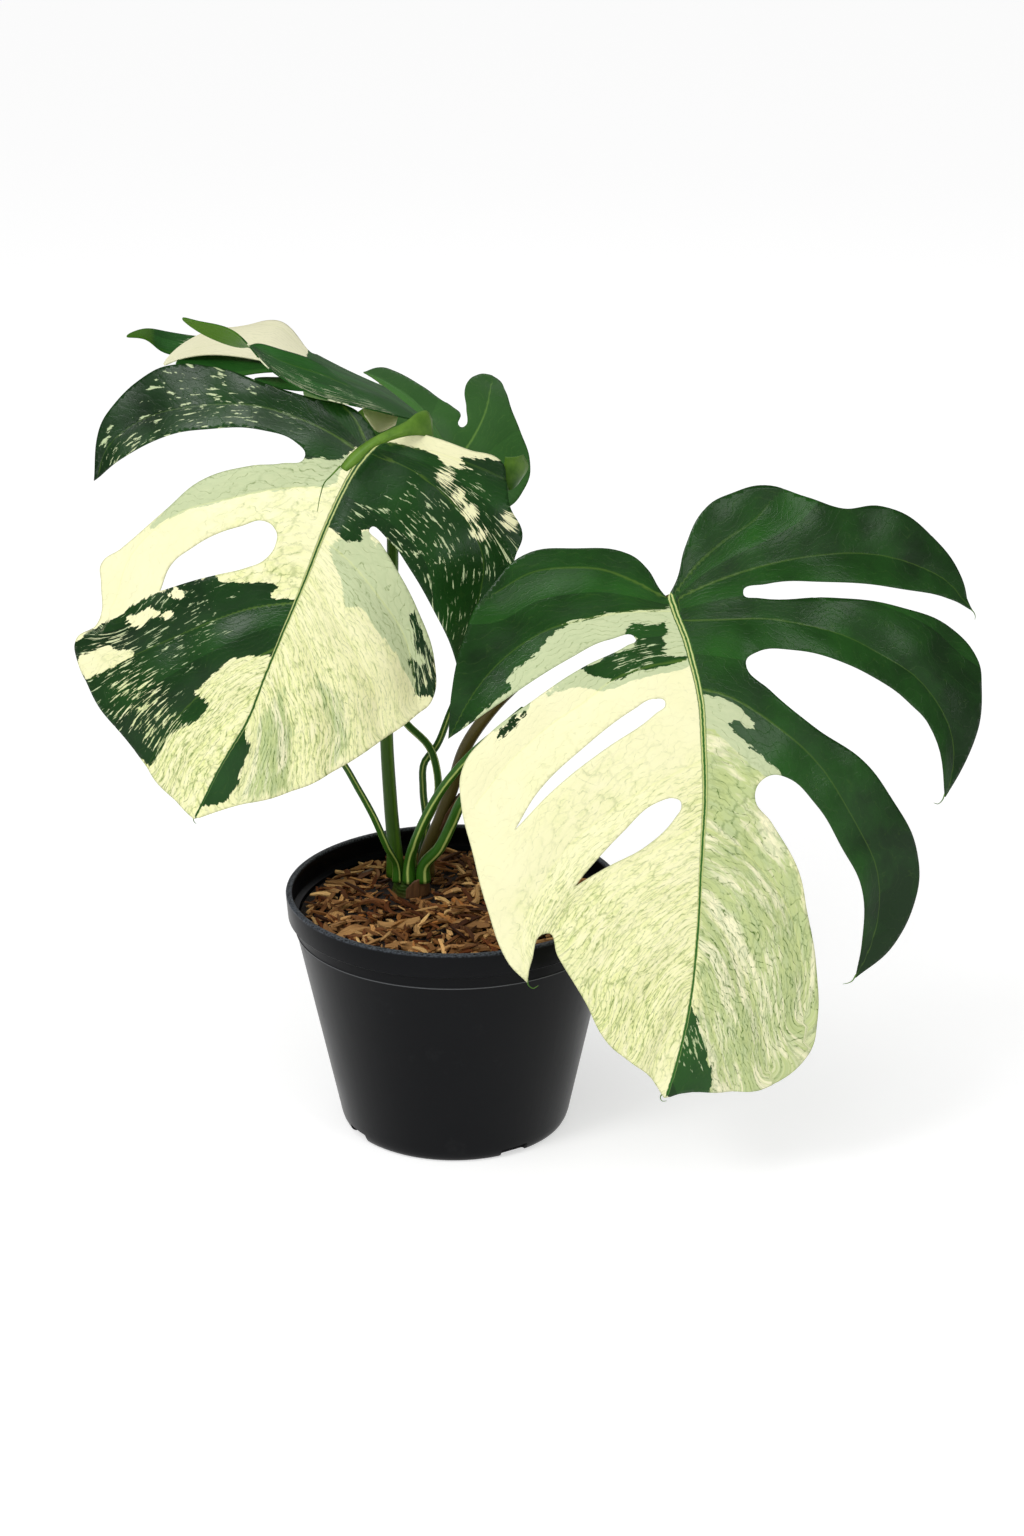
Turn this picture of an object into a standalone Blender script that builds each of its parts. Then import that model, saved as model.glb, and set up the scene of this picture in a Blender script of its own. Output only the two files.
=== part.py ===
"""Potted variegated monstera: four leaf blades on seven petioles, rooted in a black nursery pot.

Metres, +Z up. The origin is the middle of the face that the pot stands on, and the plant's showy
side faces -Y.
"""

import math

import bmesh
import bpy
from mathutils import Matrix, Vector

# Pot
POT_RIM_RADIUS = 0.105
POT_HEIGHT = 0.156
POT_BASE_RADIUS = 0.0715
POT_WALL = 0.0020
RIM_BAND_HEIGHT = 0.016
RIM_BAND_STEP = 0.0045
BAND_TAPER = 0.0012
CORNER_ROUND = 0.007
FLOOR_LIFT = 0.004
FOOT_RING_WIDTH = 0.004
CENTRE_PAD_RADIUS = 0.028
PAD_SLOPE = 0.003
NOTCH_WIDTH = 0.019
NOTCH_HEIGHT = 0.006
NOTCH_COUNT = 4
NOTCH_FIRST_ANGLE = -58
DRAIN_HOLE_RADIUS = 0.0055
DRAIN_HOLE_COUNT = 6
TURN_STEPS = 48

# Potting mix and what lies on it
SOIL_BELOW_RIM = 0.0170
SOIL_MOUND = 0.005
SOIL_SIDE_CLEARANCE = 0.0006
REST_CLEARANCE = 0.0005
CHIP_THICKNESS = 0.0022
CHIP_BEND = 0.0012
TWIG_RADIUS = 0.0011
TWIG_LENGTH = 0.046

# Stem
STEM_RADIUS = 0.0118
STEM_ABOVE_SOIL = 0.0135
STEM_ROOTED_DEPTH = 0.030
STEM_FIT = 0.0005
STEM_PLACE = (-0.028, 0.021)
SHEATH_THICKNESS = 0.0009
SHEATH_HEIGHT = 0.013
CATAPHYLL_LENGTH = 0.026
CATAPHYLL_THICKNESS = 0.0009

# Leaves
BLADE_THICKNESS = 0.0012
BLADE_GRID = 0.014
BLADE_JOIN_GAP = 0.0009
FOOT_GAP = 0.0008
FOOT_RISE = 0.005
RIGHT_BLADE_LENGTH = 0.303
LEFT_BLADE_LENGTH = 0.255
BACK_BLADE_LENGTH = 0.150
HANG_CLEARANCE = 0.0210

MM = 0.001
SOIL_EDGE_Z = POT_HEIGHT - SOIL_BELOW_RIM
SOIL_TOP_Z = SOIL_EDGE_Z + SOIL_MOUND
STEM_TOP_Z = SOIL_TOP_Z + STEM_ABOVE_SOIL


class Blade:
    """How one flat leaf outline is hung in space.

    A place on the leaf is (across, along) in metres from the top of its stalk: along runs down the
    midrib to the tip, and across runs to its right as seen from the showy side. The midrib bends
    towards the back as it runs, and each half folds and droops away from it.
    """

    def __init__(self, base, turn, tilt, swing, bend, fold, droop, bow, length):
        spin = Matrix.Rotation(math.radians(turn), 3, "Z")
        lean = Matrix.Rotation(math.radians(-tilt), 3, "X")
        sway = Matrix.Rotation(math.radians(swing), 3, "Y")
        frame = spin @ lean @ sway
        self.base = Vector(base)
        self.across = frame @ Vector((1, 0, 0))
        self.face = frame @ Vector((0, -1, 0))
        self.along = frame @ Vector((0, 0, -1))
        self.bend_base, self.bend_tip = (math.radians(value) * 10 for value in bend)
        self.fold = [math.radians(value) for value in fold]
        self.droop = [math.radians(value) * 10 for value in droop]
        self.bow = bow * MM
        self.length = length

    def point(self, across, along, lift=0.0):
        rate = self.bend_tip if along >= 0 else self.bend_base
        if abs(rate) < 1e-6:
            rate = 1e-6
        run = math.sin(rate * along) / rate
        drop = (1 - math.cos(rate * along)) / rate
        normal = self.face * math.cos(rate * along) + self.along * math.sin(rate * along)
        part = min(max(along / self.length, 0), 1)
        half = 1 if across >= 0 else 0
        side = 1 if across >= 0 else -1
        fold = self.fold[half]
        droop = self.droop[half]
        angle = fold + droop * abs(across)
        out = (math.sin(angle) - math.sin(fold)) / droop
        back = (math.cos(fold) - math.cos(angle)) / droop
        place = self.base + self.along * run - self.face * drop
        place += self.across * (side * out + self.bow * 4 * part * (1 - part)) - normal * back
        return place + (normal * math.cos(angle) + self.across * side * math.sin(angle)) * lift


def start_empty():
    for obj in list(bpy.data.objects):
        bpy.data.objects.remove(obj, do_unlink=True)
    scene = bpy.context.scene
    plant = bpy.data.collections.new("potted_monstera")
    cutters = bpy.data.collections.new("cutters")
    cutters.hide_render = True
    scene.collection.children.link(plant)
    scene.collection.children.link(cutters)
    return plant, cutters


def material(name, colour, roughness):
    made = bpy.data.materials.new(name)
    made.use_nodes = True
    shader = made.node_tree.nodes["Principled BSDF"]
    shader.inputs["Base Color"].default_value = (*colour, 1)
    shader.inputs["Roughness"].default_value = roughness
    shader.inputs["Metallic"].default_value = 0
    return made


def add_object(name, data, collection, finish=None):
    obj = bpy.data.objects.new(name, data)
    collection.objects.link(obj)
    if finish:
        data.materials.append(finish)
    return obj


def smooth(mesh):
    for face in mesh.polygons:
        face.use_smooth = True


def add_modifier(obj, kind, **settings):
    modifier = obj.modifiers.new(kind.title(), kind)
    for key, value in settings.items():
        setattr(modifier, key, value)
    return modifier


def turned(name, profile, collection, finish=None):
    """A profile of (radius, height), turned about Z. It runs down the outer side."""
    mesh = bpy.data.meshes.new(name)
    edges = [(i, i + 1) for i in range(len(profile) - 1)]
    mesh.from_pydata([(radius, 0, height) for radius, height in profile], edges, [])
    obj = add_object(name, mesh, collection, finish)
    add_modifier(
        obj,
        "SCREW",
        axis="Z",
        steps=TURN_STEPS,
        render_steps=TURN_STEPS,
        use_merge_vertices=True,
        merge_threshold=1e-5,
        use_smooth_shade=True,
    )
    return obj


def cut(obj, cutter, name):
    cutter.display_type = "WIRE"
    modifier = obj.modifiers.new(name, "BOOLEAN")
    modifier.operation = "DIFFERENCE"
    modifier.solver = "EXACT"
    modifier.object = cutter


def box_mesh(name, size):
    mesh = bpy.data.meshes.new(name)
    bm = bmesh.new()
    bmesh.ops.create_cube(bm, size=1)
    bmesh.ops.scale(bm, vec=size, verts=bm.verts)
    bm.to_mesh(mesh)
    bm.free()
    return mesh


def rod_mesh(name, radius, top_radius, length, sides):
    mesh = bpy.data.meshes.new(name)
    bm = bmesh.new()
    bmesh.ops.create_cone(
        bm, cap_ends=True, segments=sides, radius1=radius, radius2=top_radius, depth=length
    )
    bm.to_mesh(mesh)
    bm.free()
    return mesh


# The pot's wall on its outside, and on its inside, at a given height


def outer_radius(height):
    top = POT_RIM_RADIUS - RIM_BAND_STEP - BAND_TAPER
    share = (height - CORNER_ROUND) / (POT_HEIGHT - RIM_BAND_HEIGHT - CORNER_ROUND)
    return POT_BASE_RADIUS + 0.0015 + (top - POT_BASE_RADIUS - 0.0015) * share


def inner_radius(height):
    return outer_radius(height) - POT_WALL


def soil_height(radius):
    """The height of the potting mix at this distance from the pot's axis."""
    edge = inner_radius(SOIL_EDGE_Z) - SOIL_SIDE_CLEARANCE
    flat = edge * 0.42
    share = min(max((edge - radius) / (edge - flat), 0), 1)
    return SOIL_EDGE_Z + SOIL_MOUND * share


def make_pot(plant, cutters):
    band_low = POT_HEIGHT - RIM_BAND_HEIGHT
    band_radius = POT_RIM_RADIUS - BAND_TAPER
    body_top = band_radius - RIM_BAND_STEP
    floor_top = FLOOR_LIFT + POT_WALL
    pad_edge = CENTRE_PAD_RADIUS + PAD_SLOPE
    ring_in = POT_BASE_RADIUS - 0.003 - FOOT_RING_WIDTH
    profile = [
        (0, POT_WALL),
        (CENTRE_PAD_RADIUS - 0.001, POT_WALL),
        (pad_edge - 0.001, floor_top),
        (inner_radius(CORNER_ROUND) - 0.004, floor_top),
        (inner_radius(CORNER_ROUND + 0.004), CORNER_ROUND + 0.004),
        (inner_radius(band_low), band_low + POT_WALL * 0.5),
        (band_radius - POT_WALL, band_low + POT_WALL * 1.6),
        (POT_RIM_RADIUS - POT_WALL, POT_HEIGHT - 0.0008),
        (POT_RIM_RADIUS - POT_WALL + 0.0006, POT_HEIGHT),
        (POT_RIM_RADIUS - 0.0006, POT_HEIGHT),
        (POT_RIM_RADIUS, POT_HEIGHT - 0.0008),
        (band_radius, band_low),
        (body_top, band_low - 0.0004),
        (outer_radius(CORNER_ROUND + 0.001), CORNER_ROUND + 0.001),
        (POT_BASE_RADIUS, CORNER_ROUND * 0.42),
        (POT_BASE_RADIUS - 0.003, 0),
        (ring_in, 0),
        (ring_in - 0.0016, FLOOR_LIFT),
        (pad_edge, FLOOR_LIFT),
        (CENTRE_PAD_RADIUS, 0),
        (0, 0),
    ]
    pot = turned("pot", profile, plant, material("black_plastic", (0.010, 0.011, 0.013), 0.45))
    for number in range(NOTCH_COUNT):
        angle = math.radians(NOTCH_FIRST_ANGLE + 360 / NOTCH_COUNT * number)
        size = (0.016, NOTCH_WIDTH, 2 * NOTCH_HEIGHT)
        cutter = add_object(f"cut_notch_{number + 1}", box_mesh("cut_notch", size), cutters)
        reach = POT_BASE_RADIUS + 0.002
        cutter.location = (reach * math.cos(angle), reach * math.sin(angle), 0)
        cutter.rotation_euler = (0, 0, angle)
        cut(pot, cutter, cutter.name)
    for number in range(DRAIN_HOLE_COUNT):
        angle = math.radians(360 / DRAIN_HOLE_COUNT * number + 15)
        mesh = rod_mesh("cut_drain", DRAIN_HOLE_RADIUS, DRAIN_HOLE_RADIUS, 0.03, 16)
        cutter = add_object(f"cut_drain_{number + 1}", mesh, cutters)
        reach = (CENTRE_PAD_RADIUS + PAD_SLOPE + ring_in) / 2
        cutter.location = (reach * math.cos(angle), reach * math.sin(angle), 0)
        cut(pot, cutter, cutter.name)
    return pot


def make_potting_mix(plant, cutters):
    """The mix fills the pot and is heaped a little in the middle, round the rooted stem."""
    edge = inner_radius(SOIL_EDGE_Z) - SOIL_SIDE_CLEARANCE
    bottom = FLOOR_LIFT + POT_WALL + REST_CLEARANCE
    heap = [(edge * share, soil_height(edge * share)) for share in (0.42, 0.70, 1.0)]
    low = CORNER_ROUND + 0.004
    profile = [
        (0, soil_height(0)),
        *heap,
        (inner_radius(low) - SOIL_SIDE_CLEARANCE, low),
        (inner_radius(CORNER_ROUND) - 0.0045, bottom),
        (0, bottom),
    ]
    finish = material("potting_mix", (0.045, 0.022, 0.010), 0.95)
    mix = turned("potting_mix", profile, plant, finish)
    hole = STEM_RADIUS + STEM_FIT
    depth = STEM_ROOTED_DEPTH + 2 * REST_CLEARANCE
    socket = add_object("cut_socket", rod_mesh("cut_socket", hole, hole, 2 * depth, 24), cutters)
    socket.location = (*STEM_PLACE, soil_height(0))
    cut(mix, socket, "cut_socket")
    return mix


def make_stem(plant):
    length = STEM_ROOTED_DEPTH + STEM_ABOVE_SOIL
    mesh = rod_mesh("stem", STEM_RADIUS, STEM_RADIUS * 0.98, length, 20)
    smooth(mesh)
    finish = material("stem_green", (0.060, 0.075, 0.020), 0.6)
    stem = add_object("stem", mesh, plant, finish)
    stem.location = (*STEM_PLACE, STEM_TOP_Z - length / 2)
    return stem


def curved_plate(name, radius, thickness, height, start, end, finish, plant):
    """A thin plate bent round a stalk: an arc of a cylinder's wall, with Solidify."""
    mesh = bpy.data.meshes.new(name)
    bm = bmesh.new()
    steps = 8
    for i in range(steps + 1):
        angle = math.radians(start + (end - start) * i / steps)
        bm.verts.new((radius * math.cos(angle), radius * math.sin(angle), -height / 2))
    bm.verts.ensure_lookup_table()
    rim = [bm.edges.new((bm.verts[i], bm.verts[i + 1])) for i in range(steps)]
    raised = bmesh.ops.extrude_edge_only(bm, edges=rim)
    new_verts = [item for item in raised["geom"] if isinstance(item, bmesh.types.BMVert)]
    middle = (start + end) / 2
    for vert in new_verts:
        angle = math.degrees(math.atan2(vert.co.y, vert.co.x))
        away = abs((angle - middle + 180) % 360 - 180) / (abs(end - start) / 2)
        vert.co.z += height * (1 - 0.55 * min(away, 1) ** 2)
    bmesh.ops.recalc_face_normals(bm, faces=bm.faces)
    bm.to_mesh(mesh)
    bm.free()
    smooth(mesh)
    plate = add_object(name, mesh, plant, finish)
    add_modifier(plate, "SOLIDIFY", thickness=thickness, offset=0)
    return plate


def soil_point(x, y, z):
    """A place in millimetres, whose height is measured from the top of the potting mix."""
    return Vector((x * MM, y * MM, z * MM + SOIL_TOP_Z))


def smooth_path(points, count):
    """Evenly spaced points on one smooth curve through these points."""
    gaps = [(after - before).length for before, after in zip(points, points[1:])]
    slopes = [(after - before) / gap for before, after, gap in zip(points, points[1:], gaps)]
    headings = [slopes[0]]
    for i in range(1, len(slopes)):
        near = slopes[i - 1] * gaps[i] + slopes[i] * gaps[i - 1]
        headings.append(near / (gaps[i - 1] + gaps[i]))
    headings.append(slopes[-1])
    made = []
    for step in range(count + 1):
        left = sum(gaps) * step / count
        span = 0
        while span < len(gaps) - 1 and left > gaps[span]:
            left -= gaps[span]
            span += 1
        gap = gaps[span]
        t = min(left / gap, 1)
        place = points[span] * (2 * t**3 - 3 * t**2 + 1)
        place += points[span + 1] * (3 * t**2 - 2 * t**3)
        place += headings[span] * gap * (t**3 - 2 * t**2 + t)
        place += headings[span + 1] * gap * (t**3 - t**2)
        made.append(place)
    return made


def tapered_tube(name, points, foot_radius, head_radius, plant, finish):
    curve = bpy.data.curves.new(name, "CURVE")
    curve.dimensions = "3D"
    curve.bevel_depth = 1
    curve.bevel_resolution = 3
    curve.use_fill_caps = True
    spline = curve.splines.new("POLY")
    spline.points.add(len(points) - 1)
    for i, (target, place) in enumerate(zip(spline.points, points)):
        target.co = (*place, 1)
        target.radius = foot_radius + (head_radius - foot_radius) * i / (len(points) - 1)
    spline.use_smooth = True
    return add_object(name, curve, plant, finish)


def make_petiole(name, foot, route, radii, plant, finish, head=(), shift=Vector((0, 0, 0))):
    """A stalk from its foot on the stem, through its route, to its head behind its blade."""
    start = Vector((foot[0] * MM, foot[1] * MM, STEM_TOP_Z + FOOT_GAP))
    rise = start + Vector((0, 0, FOOT_RISE))
    above = [soil_point(*place) for place in route]
    above = [place + shift * ((i + 1) / len(above)) for i, place in enumerate(above)]
    points = smooth_path([start, rise, *above, *head], 20)
    return tapered_tube(name, points, radii[0] * MM, radii[1] * MM, plant, finish)


def blade_head(blade, radius):
    """The last two places of a petiole that meets the back of its blade squarely."""
    gap = BLADE_THICKNESS / 2 + BLADE_JOIN_GAP + radius * 0.16
    return [blade.base - blade.face * (gap + 0.011), blade.base - blade.face * gap]


def flat_leaf(loops, scale):
    """The outline and its holes as one flat mesh, cut along a grid so that it can bend."""
    curve = bpy.data.curves.new("outline", "CURVE")
    curve.dimensions = "2D"
    curve.fill_mode = "FRONT"
    curve.resolution_u = 3
    for loop in loops:
        spline = curve.splines.new("BEZIER")
        spline.bezier_points.add(len(loop) - 1)
        spline.use_cyclic_u = True
        for target, place in zip(spline.bezier_points, loop):
            target.co = (place[0] * MM * scale, place[1] * MM * scale, 0)
            kind = "VECTOR" if len(place) > 2 else "AUTO"
            target.handle_left_type = kind
            target.handle_right_type = kind
    obj = bpy.data.objects.new("outline", curve)
    bpy.context.scene.collection.objects.link(obj)
    graph = bpy.context.evaluated_depsgraph_get()
    flat = bpy.data.meshes.new_from_object(obj.evaluated_get(graph))
    bpy.data.objects.remove(obj, do_unlink=True)
    bm = bmesh.new()
    bm.from_mesh(flat)
    bmesh.ops.remove_doubles(bm, verts=bm.verts, dist=1e-5)
    bmesh.ops.dissolve_limit(bm, angle_limit=0.01, verts=[], edges=bm.edges)
    for axis in (0, 1):
        values = [vert.co[axis] for vert in bm.verts]
        line = math.floor(min(values) / BLADE_GRID) + 1
        while line * BLADE_GRID < max(values):
            normal = Vector((1, 0, 0)) if axis == 0 else Vector((0, 1, 0))
            everything = list(bm.verts) + list(bm.edges) + list(bm.faces)
            bmesh.ops.bisect_plane(
                bm, geom=everything, plane_co=normal * line * BLADE_GRID, plane_no=normal
            )
            line += 1
    bmesh.ops.remove_doubles(bm, verts=bm.verts, dist=1e-4)
    bmesh.ops.triangulate(bm, faces=bm.faces)
    return bm


def make_blade(name, blade, loops, scale, plant, finish):
    bm = flat_leaf(loops, scale)
    for vert in bm.verts:
        vert.co = blade.point(vert.co.x, vert.co.y)
    mesh = bpy.data.meshes.new(name)
    bm.to_mesh(mesh)
    bm.free()
    smooth(mesh)
    obj = add_object(name, mesh, plant, finish)
    add_modifier(obj, "SOLIDIFY", thickness=BLADE_THICKNESS, offset=0)
    return obj


# Leaf outlines in millimetres, across and along from the top of the stalk. A place with a third
# value is a sharp point.

RIGHT_OUTLINE = [
    (-2, -1, 1), (4, -12), (9, -30), (22, -53), (38, -61), (58, -65), (83, -58), (107, -51),
    (133, -52), (165, -37), (189, -11), (195, 8, 1),
    (183, 2), (145, -5), (94, -9), (57, -8), (43, -3), (52, 0), (98, 0), (142, 6), (175, 20),
    (188, 39), (187, 58), (176, 95), (155, 126, 1),
    (147, 79), (136, 66), (121, 53), (93, 38), (67, 31), (42, 32), (35, 38), (47, 54), (70, 76),
    (100, 99), (118, 125), (134, 159), (135, 190), (124, 217), (103, 237, 1),
    (103, 214), (98, 177), (84, 150), (68, 123), (51, 106), (37, 105), (30, 116), (40, 132),
    (57, 163), (65, 191), (74, 224), (82, 262), (81, 287), (64, 302), (37, 305), (6, 300),
    (-3, 303, 1), (-17, 288), (-45, 267), (-66, 236), (-83, 211), (-91, 197), (-98, 216),
    (-99, 229, 1), (-113, 214), (-127, 180), (-135, 150), (-141, 117), (-138, 96), (-124, 79),
    (-91, 56), (-60, 38), (-32, 26), (-26, 22), (-40, 22), (-67, 33), (-105, 54), (-145, 79, 1),
    (-139, 53), (-125, 20), (-104, -10), (-84, -28), (-54, -31), (-24, -27), (-13, -18), (-6, -6),
]
RIGHT_HOLES = [
    [(-16, 59), (-21, 57), (-35, 63), (-67, 85), (-95, 110), (-110, 133, 1), (-85, 108),
     (-55, 86), (-23, 66)],
    [(-13, 119), (-15, 116), (-26, 117), (-48, 135), (-67, 156), (-76, 168, 1), (-57, 156),
     (-33, 143), (-17, 127)],
]
LEFT_OUTLINE = [
    (0, -5, 1), (-13, -12), (-23, -15), (-46, -10), (-81, -5), (-109, -2), (-138, 8), (-155, 23),
    (-168, 49), (-171, 68), (-161, 97, 1),
    (-149, 77), (-130, 54), (-102, 35), (-69, 21), (-46, 19), (-38, 24), (-50, 34), (-68, 44),
    (-92, 63), (-108, 91), (-124, 126), (-132, 141), (-127, 152), (-117, 176), (-124, 191),
    (-117, 203), (-98, 218), (-69, 230), (-35, 245), (-12, 253), (-2, 255, 1),
    (13, 238), (40, 213), (58, 188), (73, 161), (86, 136), (91, 124), (82, 100), (60, 76),
    (35, 57), (24, 50), (15, 45), (27, 46), (46, 56), (70, 73), (90, 90), (103, 107, 1),
    (109, 80), (106, 45), (103, 20), (102, 5), (88, -6), (80, -18), (72, -27), (50, -24),
    (28, -21), (7, -15),
]
LEFT_HOLES = [
    [(-37, 72), (-47, 70), (-59, 79), (-71, 90), (-82, 105), (-90, 120), (-89, 138, 1),
     (-73, 123), (-61, 113), (-45, 100), (-36, 90), (-34, 78)],
]
BACK_OUTLINE = [
    (0, -3, 1), (12, -18), (30, -24), (47, -12), (56, 12), (57, 42), (53, 66), (41, 56), (30, 54),
    (28, 62), (34, 78), (41, 91), (47, 102, 1), (36, 104), (28, 98), (11, 73), (3, 61), (-4, 54),
    (-8, 49), (-6, 38), (-9, 38), (-13, 55), (-14, 70), (-17, 78), (-23, 85), (-31, 89),
    (-38, 86), (-41, 71), (-42, 53), (-45, 37), (-49, 12), (-42, -8), (-26, -22), (-10, -16),
]

# The small upper leaf twists too much for a flat outline, so it is a coarse cage, in millimetres,
# with its heights measured from the potting mix. Each row runs from the near side to the far side.

TOP_BODY = [
    [(-17, 52, 296), (-16, 60, 295), (-18, 68, 295)],
    [(-40, 58, 310), (-41, 76, 309), (-42, 92, 308)],
    [(-63, 64, 316), (-64, 88, 315), (-65, 106, 313)],
    [(-86, 84, 320), (-86, 100, 322), (-89, 118, 322)],
    [(-104, 92, 322), (-102, 114, 325), (-96, 138, 325)],
    [(-118, 96, 324), (-114, 120, 332), (-105, 150, 335)],
    [(-130, 98, 326), (-124, 122, 333), (-118, 152, 339)],
    [(-148, 98, 328), (-144, 120, 333), (-138, 148, 337)],
    [(-163, 96, 327), (-160, 112, 331), (-157, 132, 334)],
    [(-174, 94, 324), (-173, 102, 327), (-172, 110, 330)],
    [(-182, 92, 320)],
]
TOP_NEAR_LOBE = [
    [(-36, 38, 305), (-56, 44, 313), (-74, 54, 329)],
    [(-55, 26, 313), (-72, 36, 323), (-88, 50, 338)],
    [(-75, 18, 319), (-89, 32, 329), (-102, 48, 342)],
    [(-95, 16, 329), (-104, 32, 336), (-113, 48, 346)],
    [(-111, 20, 339), (-114, 34, 344), (-119, 50, 346)],
    [(-120, 28, 350), (-122, 42, 346), (-124, 54, 342)],
    [(-129, 36, 357), (-131, 46, 350), (-133, 55, 343)],
    [(-140, 40, 360), (-142, 47, 354), (-144, 52, 348)],
    [(-152, 42, 361), (-154, 46, 358), (-155, 48, 355)],
    [(-165, 44, 365)],
]
TOP_SMALL_LOBE = [
    [(-87, 88, 306), (-98, 98, 313)],
    [(-105, 88, 308), (-110, 98, 313)],
    [(-114, 88, 311), (-119, 95, 314)],
    [(-126, 90, 314)],
]
TOP_LOW_LOBE = [
    [(-118, 90, 319), (-119, 108, 324)],
    [(-132, 88, 316), (-134, 112, 326)],
    [(-149, 88, 315), (-150, 110, 328)],
    [(-164, 90, 318), (-163, 104, 328)],
    [(-175, 90, 324)],
]
TOP_FAR_TIP_LOBE = [
    [(-160, 160, 314), (-155, 185, 317)],
    [(-176, 165, 310), (-174, 190, 318)],
    [(-190, 165, 313), (-190, 182, 323)],
    [(-196, 160, 325), (-199, 168, 329)],
    [(-214, 150, 325)],
]
TOP_FAR_LOBE = [
    [(-47, 122, 303), (-66, 135, 309), (-84, 140, 318)],
    [(-56, 160, 288), (-76, 170, 294), (-96, 175, 301)],
    [(-69, 190, 273), (-85, 195, 275), (-100, 200, 282)],
    [(-102, 215, 267)],
]


def cage_strip(bm, root, rows):
    """Quads from a root row of the cage out along a lobe, closed with triangles at its tip."""
    last = root
    for row in rows:
        verts = [bm.verts.new(soil_point(*place)) for place in row]
        if len(verts) == 1:
            for i in range(len(last) - 1):
                bm.faces.new((last[i], last[i + 1], verts[0]))
        else:
            for i in range(len(last) - 1):
                bm.faces.new((last[i], last[i + 1], verts[i + 1], verts[i]))
        last = verts


def make_top_blade(plant, finish):
    mesh = bpy.data.meshes.new("top_blade")
    bm = bmesh.new()
    rows = []
    for row in TOP_BODY[:-1]:
        rows.append([bm.verts.new(soil_point(*place)) for place in row])
        if len(rows) > 1:
            for i in range(2):
                before = rows[-2]
                bm.faces.new((before[i], before[i + 1], rows[-1][i + 1], rows[-1][i]))
    cage_strip(bm, rows[-1], TOP_BODY[-1:])
    cage_strip(bm, [rows[0][0], rows[1][0], rows[2][0]], TOP_NEAR_LOBE)
    cage_strip(bm, [rows[2][0], rows[3][0]], TOP_SMALL_LOBE)
    cage_strip(bm, [rows[3][0], rows[4][0]], TOP_LOW_LOBE)
    cage_strip(bm, [rows[1][2], rows[2][2], rows[3][2]], TOP_FAR_LOBE)
    cage_strip(bm, [rows[7][2], rows[6][2]], TOP_FAR_TIP_LOBE)
    bmesh.ops.recalc_face_normals(bm, faces=bm.faces)
    bm.to_mesh(mesh)
    bm.free()
    smooth(mesh)
    obj = add_object("top_blade", mesh, plant, finish)
    add_modifier(obj, "SUBSURF", levels=1, render_levels=1)
    add_modifier(obj, "SOLIDIFY", thickness=BLADE_THICKNESS, offset=0)
    return obj


# Bark chips: share of the bed's radius right and back, heading in degrees, length and width in
# millimetres
CHIPS = [
    (0.10, -0.74, 10, 28, 8), (0.50, -0.58, 60, 25, 7), (-0.30, -0.72, -25, 26, 7),
    (-0.62, -0.48, 35, 25, 8), (-0.82, -0.10, 80, 22, 7), (0.80, -0.20, -70, 24, 7),
    (0.12, -0.42, -15, 24, 7), (0.46, -0.20, 20, 26, 8), (-0.34, -0.34, 5, 20, 6),
    (0.28, 0.16, 75, 24, 7), (0.72, 0.28, 40, 22, 7), (0.30, 0.60, -30, 26, 7),
    (-0.16, 0.76, 15, 24, 7), (-0.74, 0.27, -50, 22, 7),
]


def laid_on_soil(obj, right, back, heading, half_height):
    """Lays a long piece on the potting mix, with a hair's gap under it."""
    bed = inner_radius(SOIL_EDGE_Z) - SOIL_SIDE_CLEARANCE
    x = right * bed
    y = back * bed
    reach = math.hypot(x, y)
    slope = math.atan2(soil_height(reach - 0.002) - soil_height(reach + 0.002), 0.004)
    outward = Vector((x, y, 0)).normalized()
    lean = Matrix.Rotation(slope, 4, Vector((-outward.y, outward.x, 0)))
    up = lean @ Vector((0, 0, 1))
    rest = Vector((x, y, soil_height(reach))) + up * (half_height + REST_CLEARANCE)
    spin = Matrix.Rotation(math.radians(heading), 4, "Z")
    obj.matrix_world = Matrix.Translation(rest) @ lean @ spin


def make_bark_chips(plant):
    finish = material("bark", (0.28, 0.15, 0.065), 0.85)
    for number, (right, back, heading, length, width) in enumerate(CHIPS):
        name = f"bark_chip_{number + 1:02d}"
        mesh = box_mesh(name, (length * MM, width * MM, CHIP_THICKNESS))
        for vert in mesh.vertices:
            if vert.co.x > 0:
                vert.co.y *= 0.6
        chip = add_object(name, mesh, plant, finish)
        add_modifier(chip, "BEVEL", width=0.0005, segments=1)
        laid_on_soil(chip, right, back, heading, CHIP_THICKNESS / 2)


def make_twig(plant):
    mesh = rod_mesh("twig", TWIG_RADIUS, TWIG_RADIUS * 0.7, TWIG_LENGTH, 8)
    mesh.transform(Matrix.Rotation(math.pi / 2, 4, "Y"))
    smooth(mesh)
    twig = add_object("twig", mesh, plant, material("twig_wood", (0.05, 0.03, 0.02), 0.8))
    laid_on_soil(twig, -0.56, 0.56, 38, TWIG_RADIUS)


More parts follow.
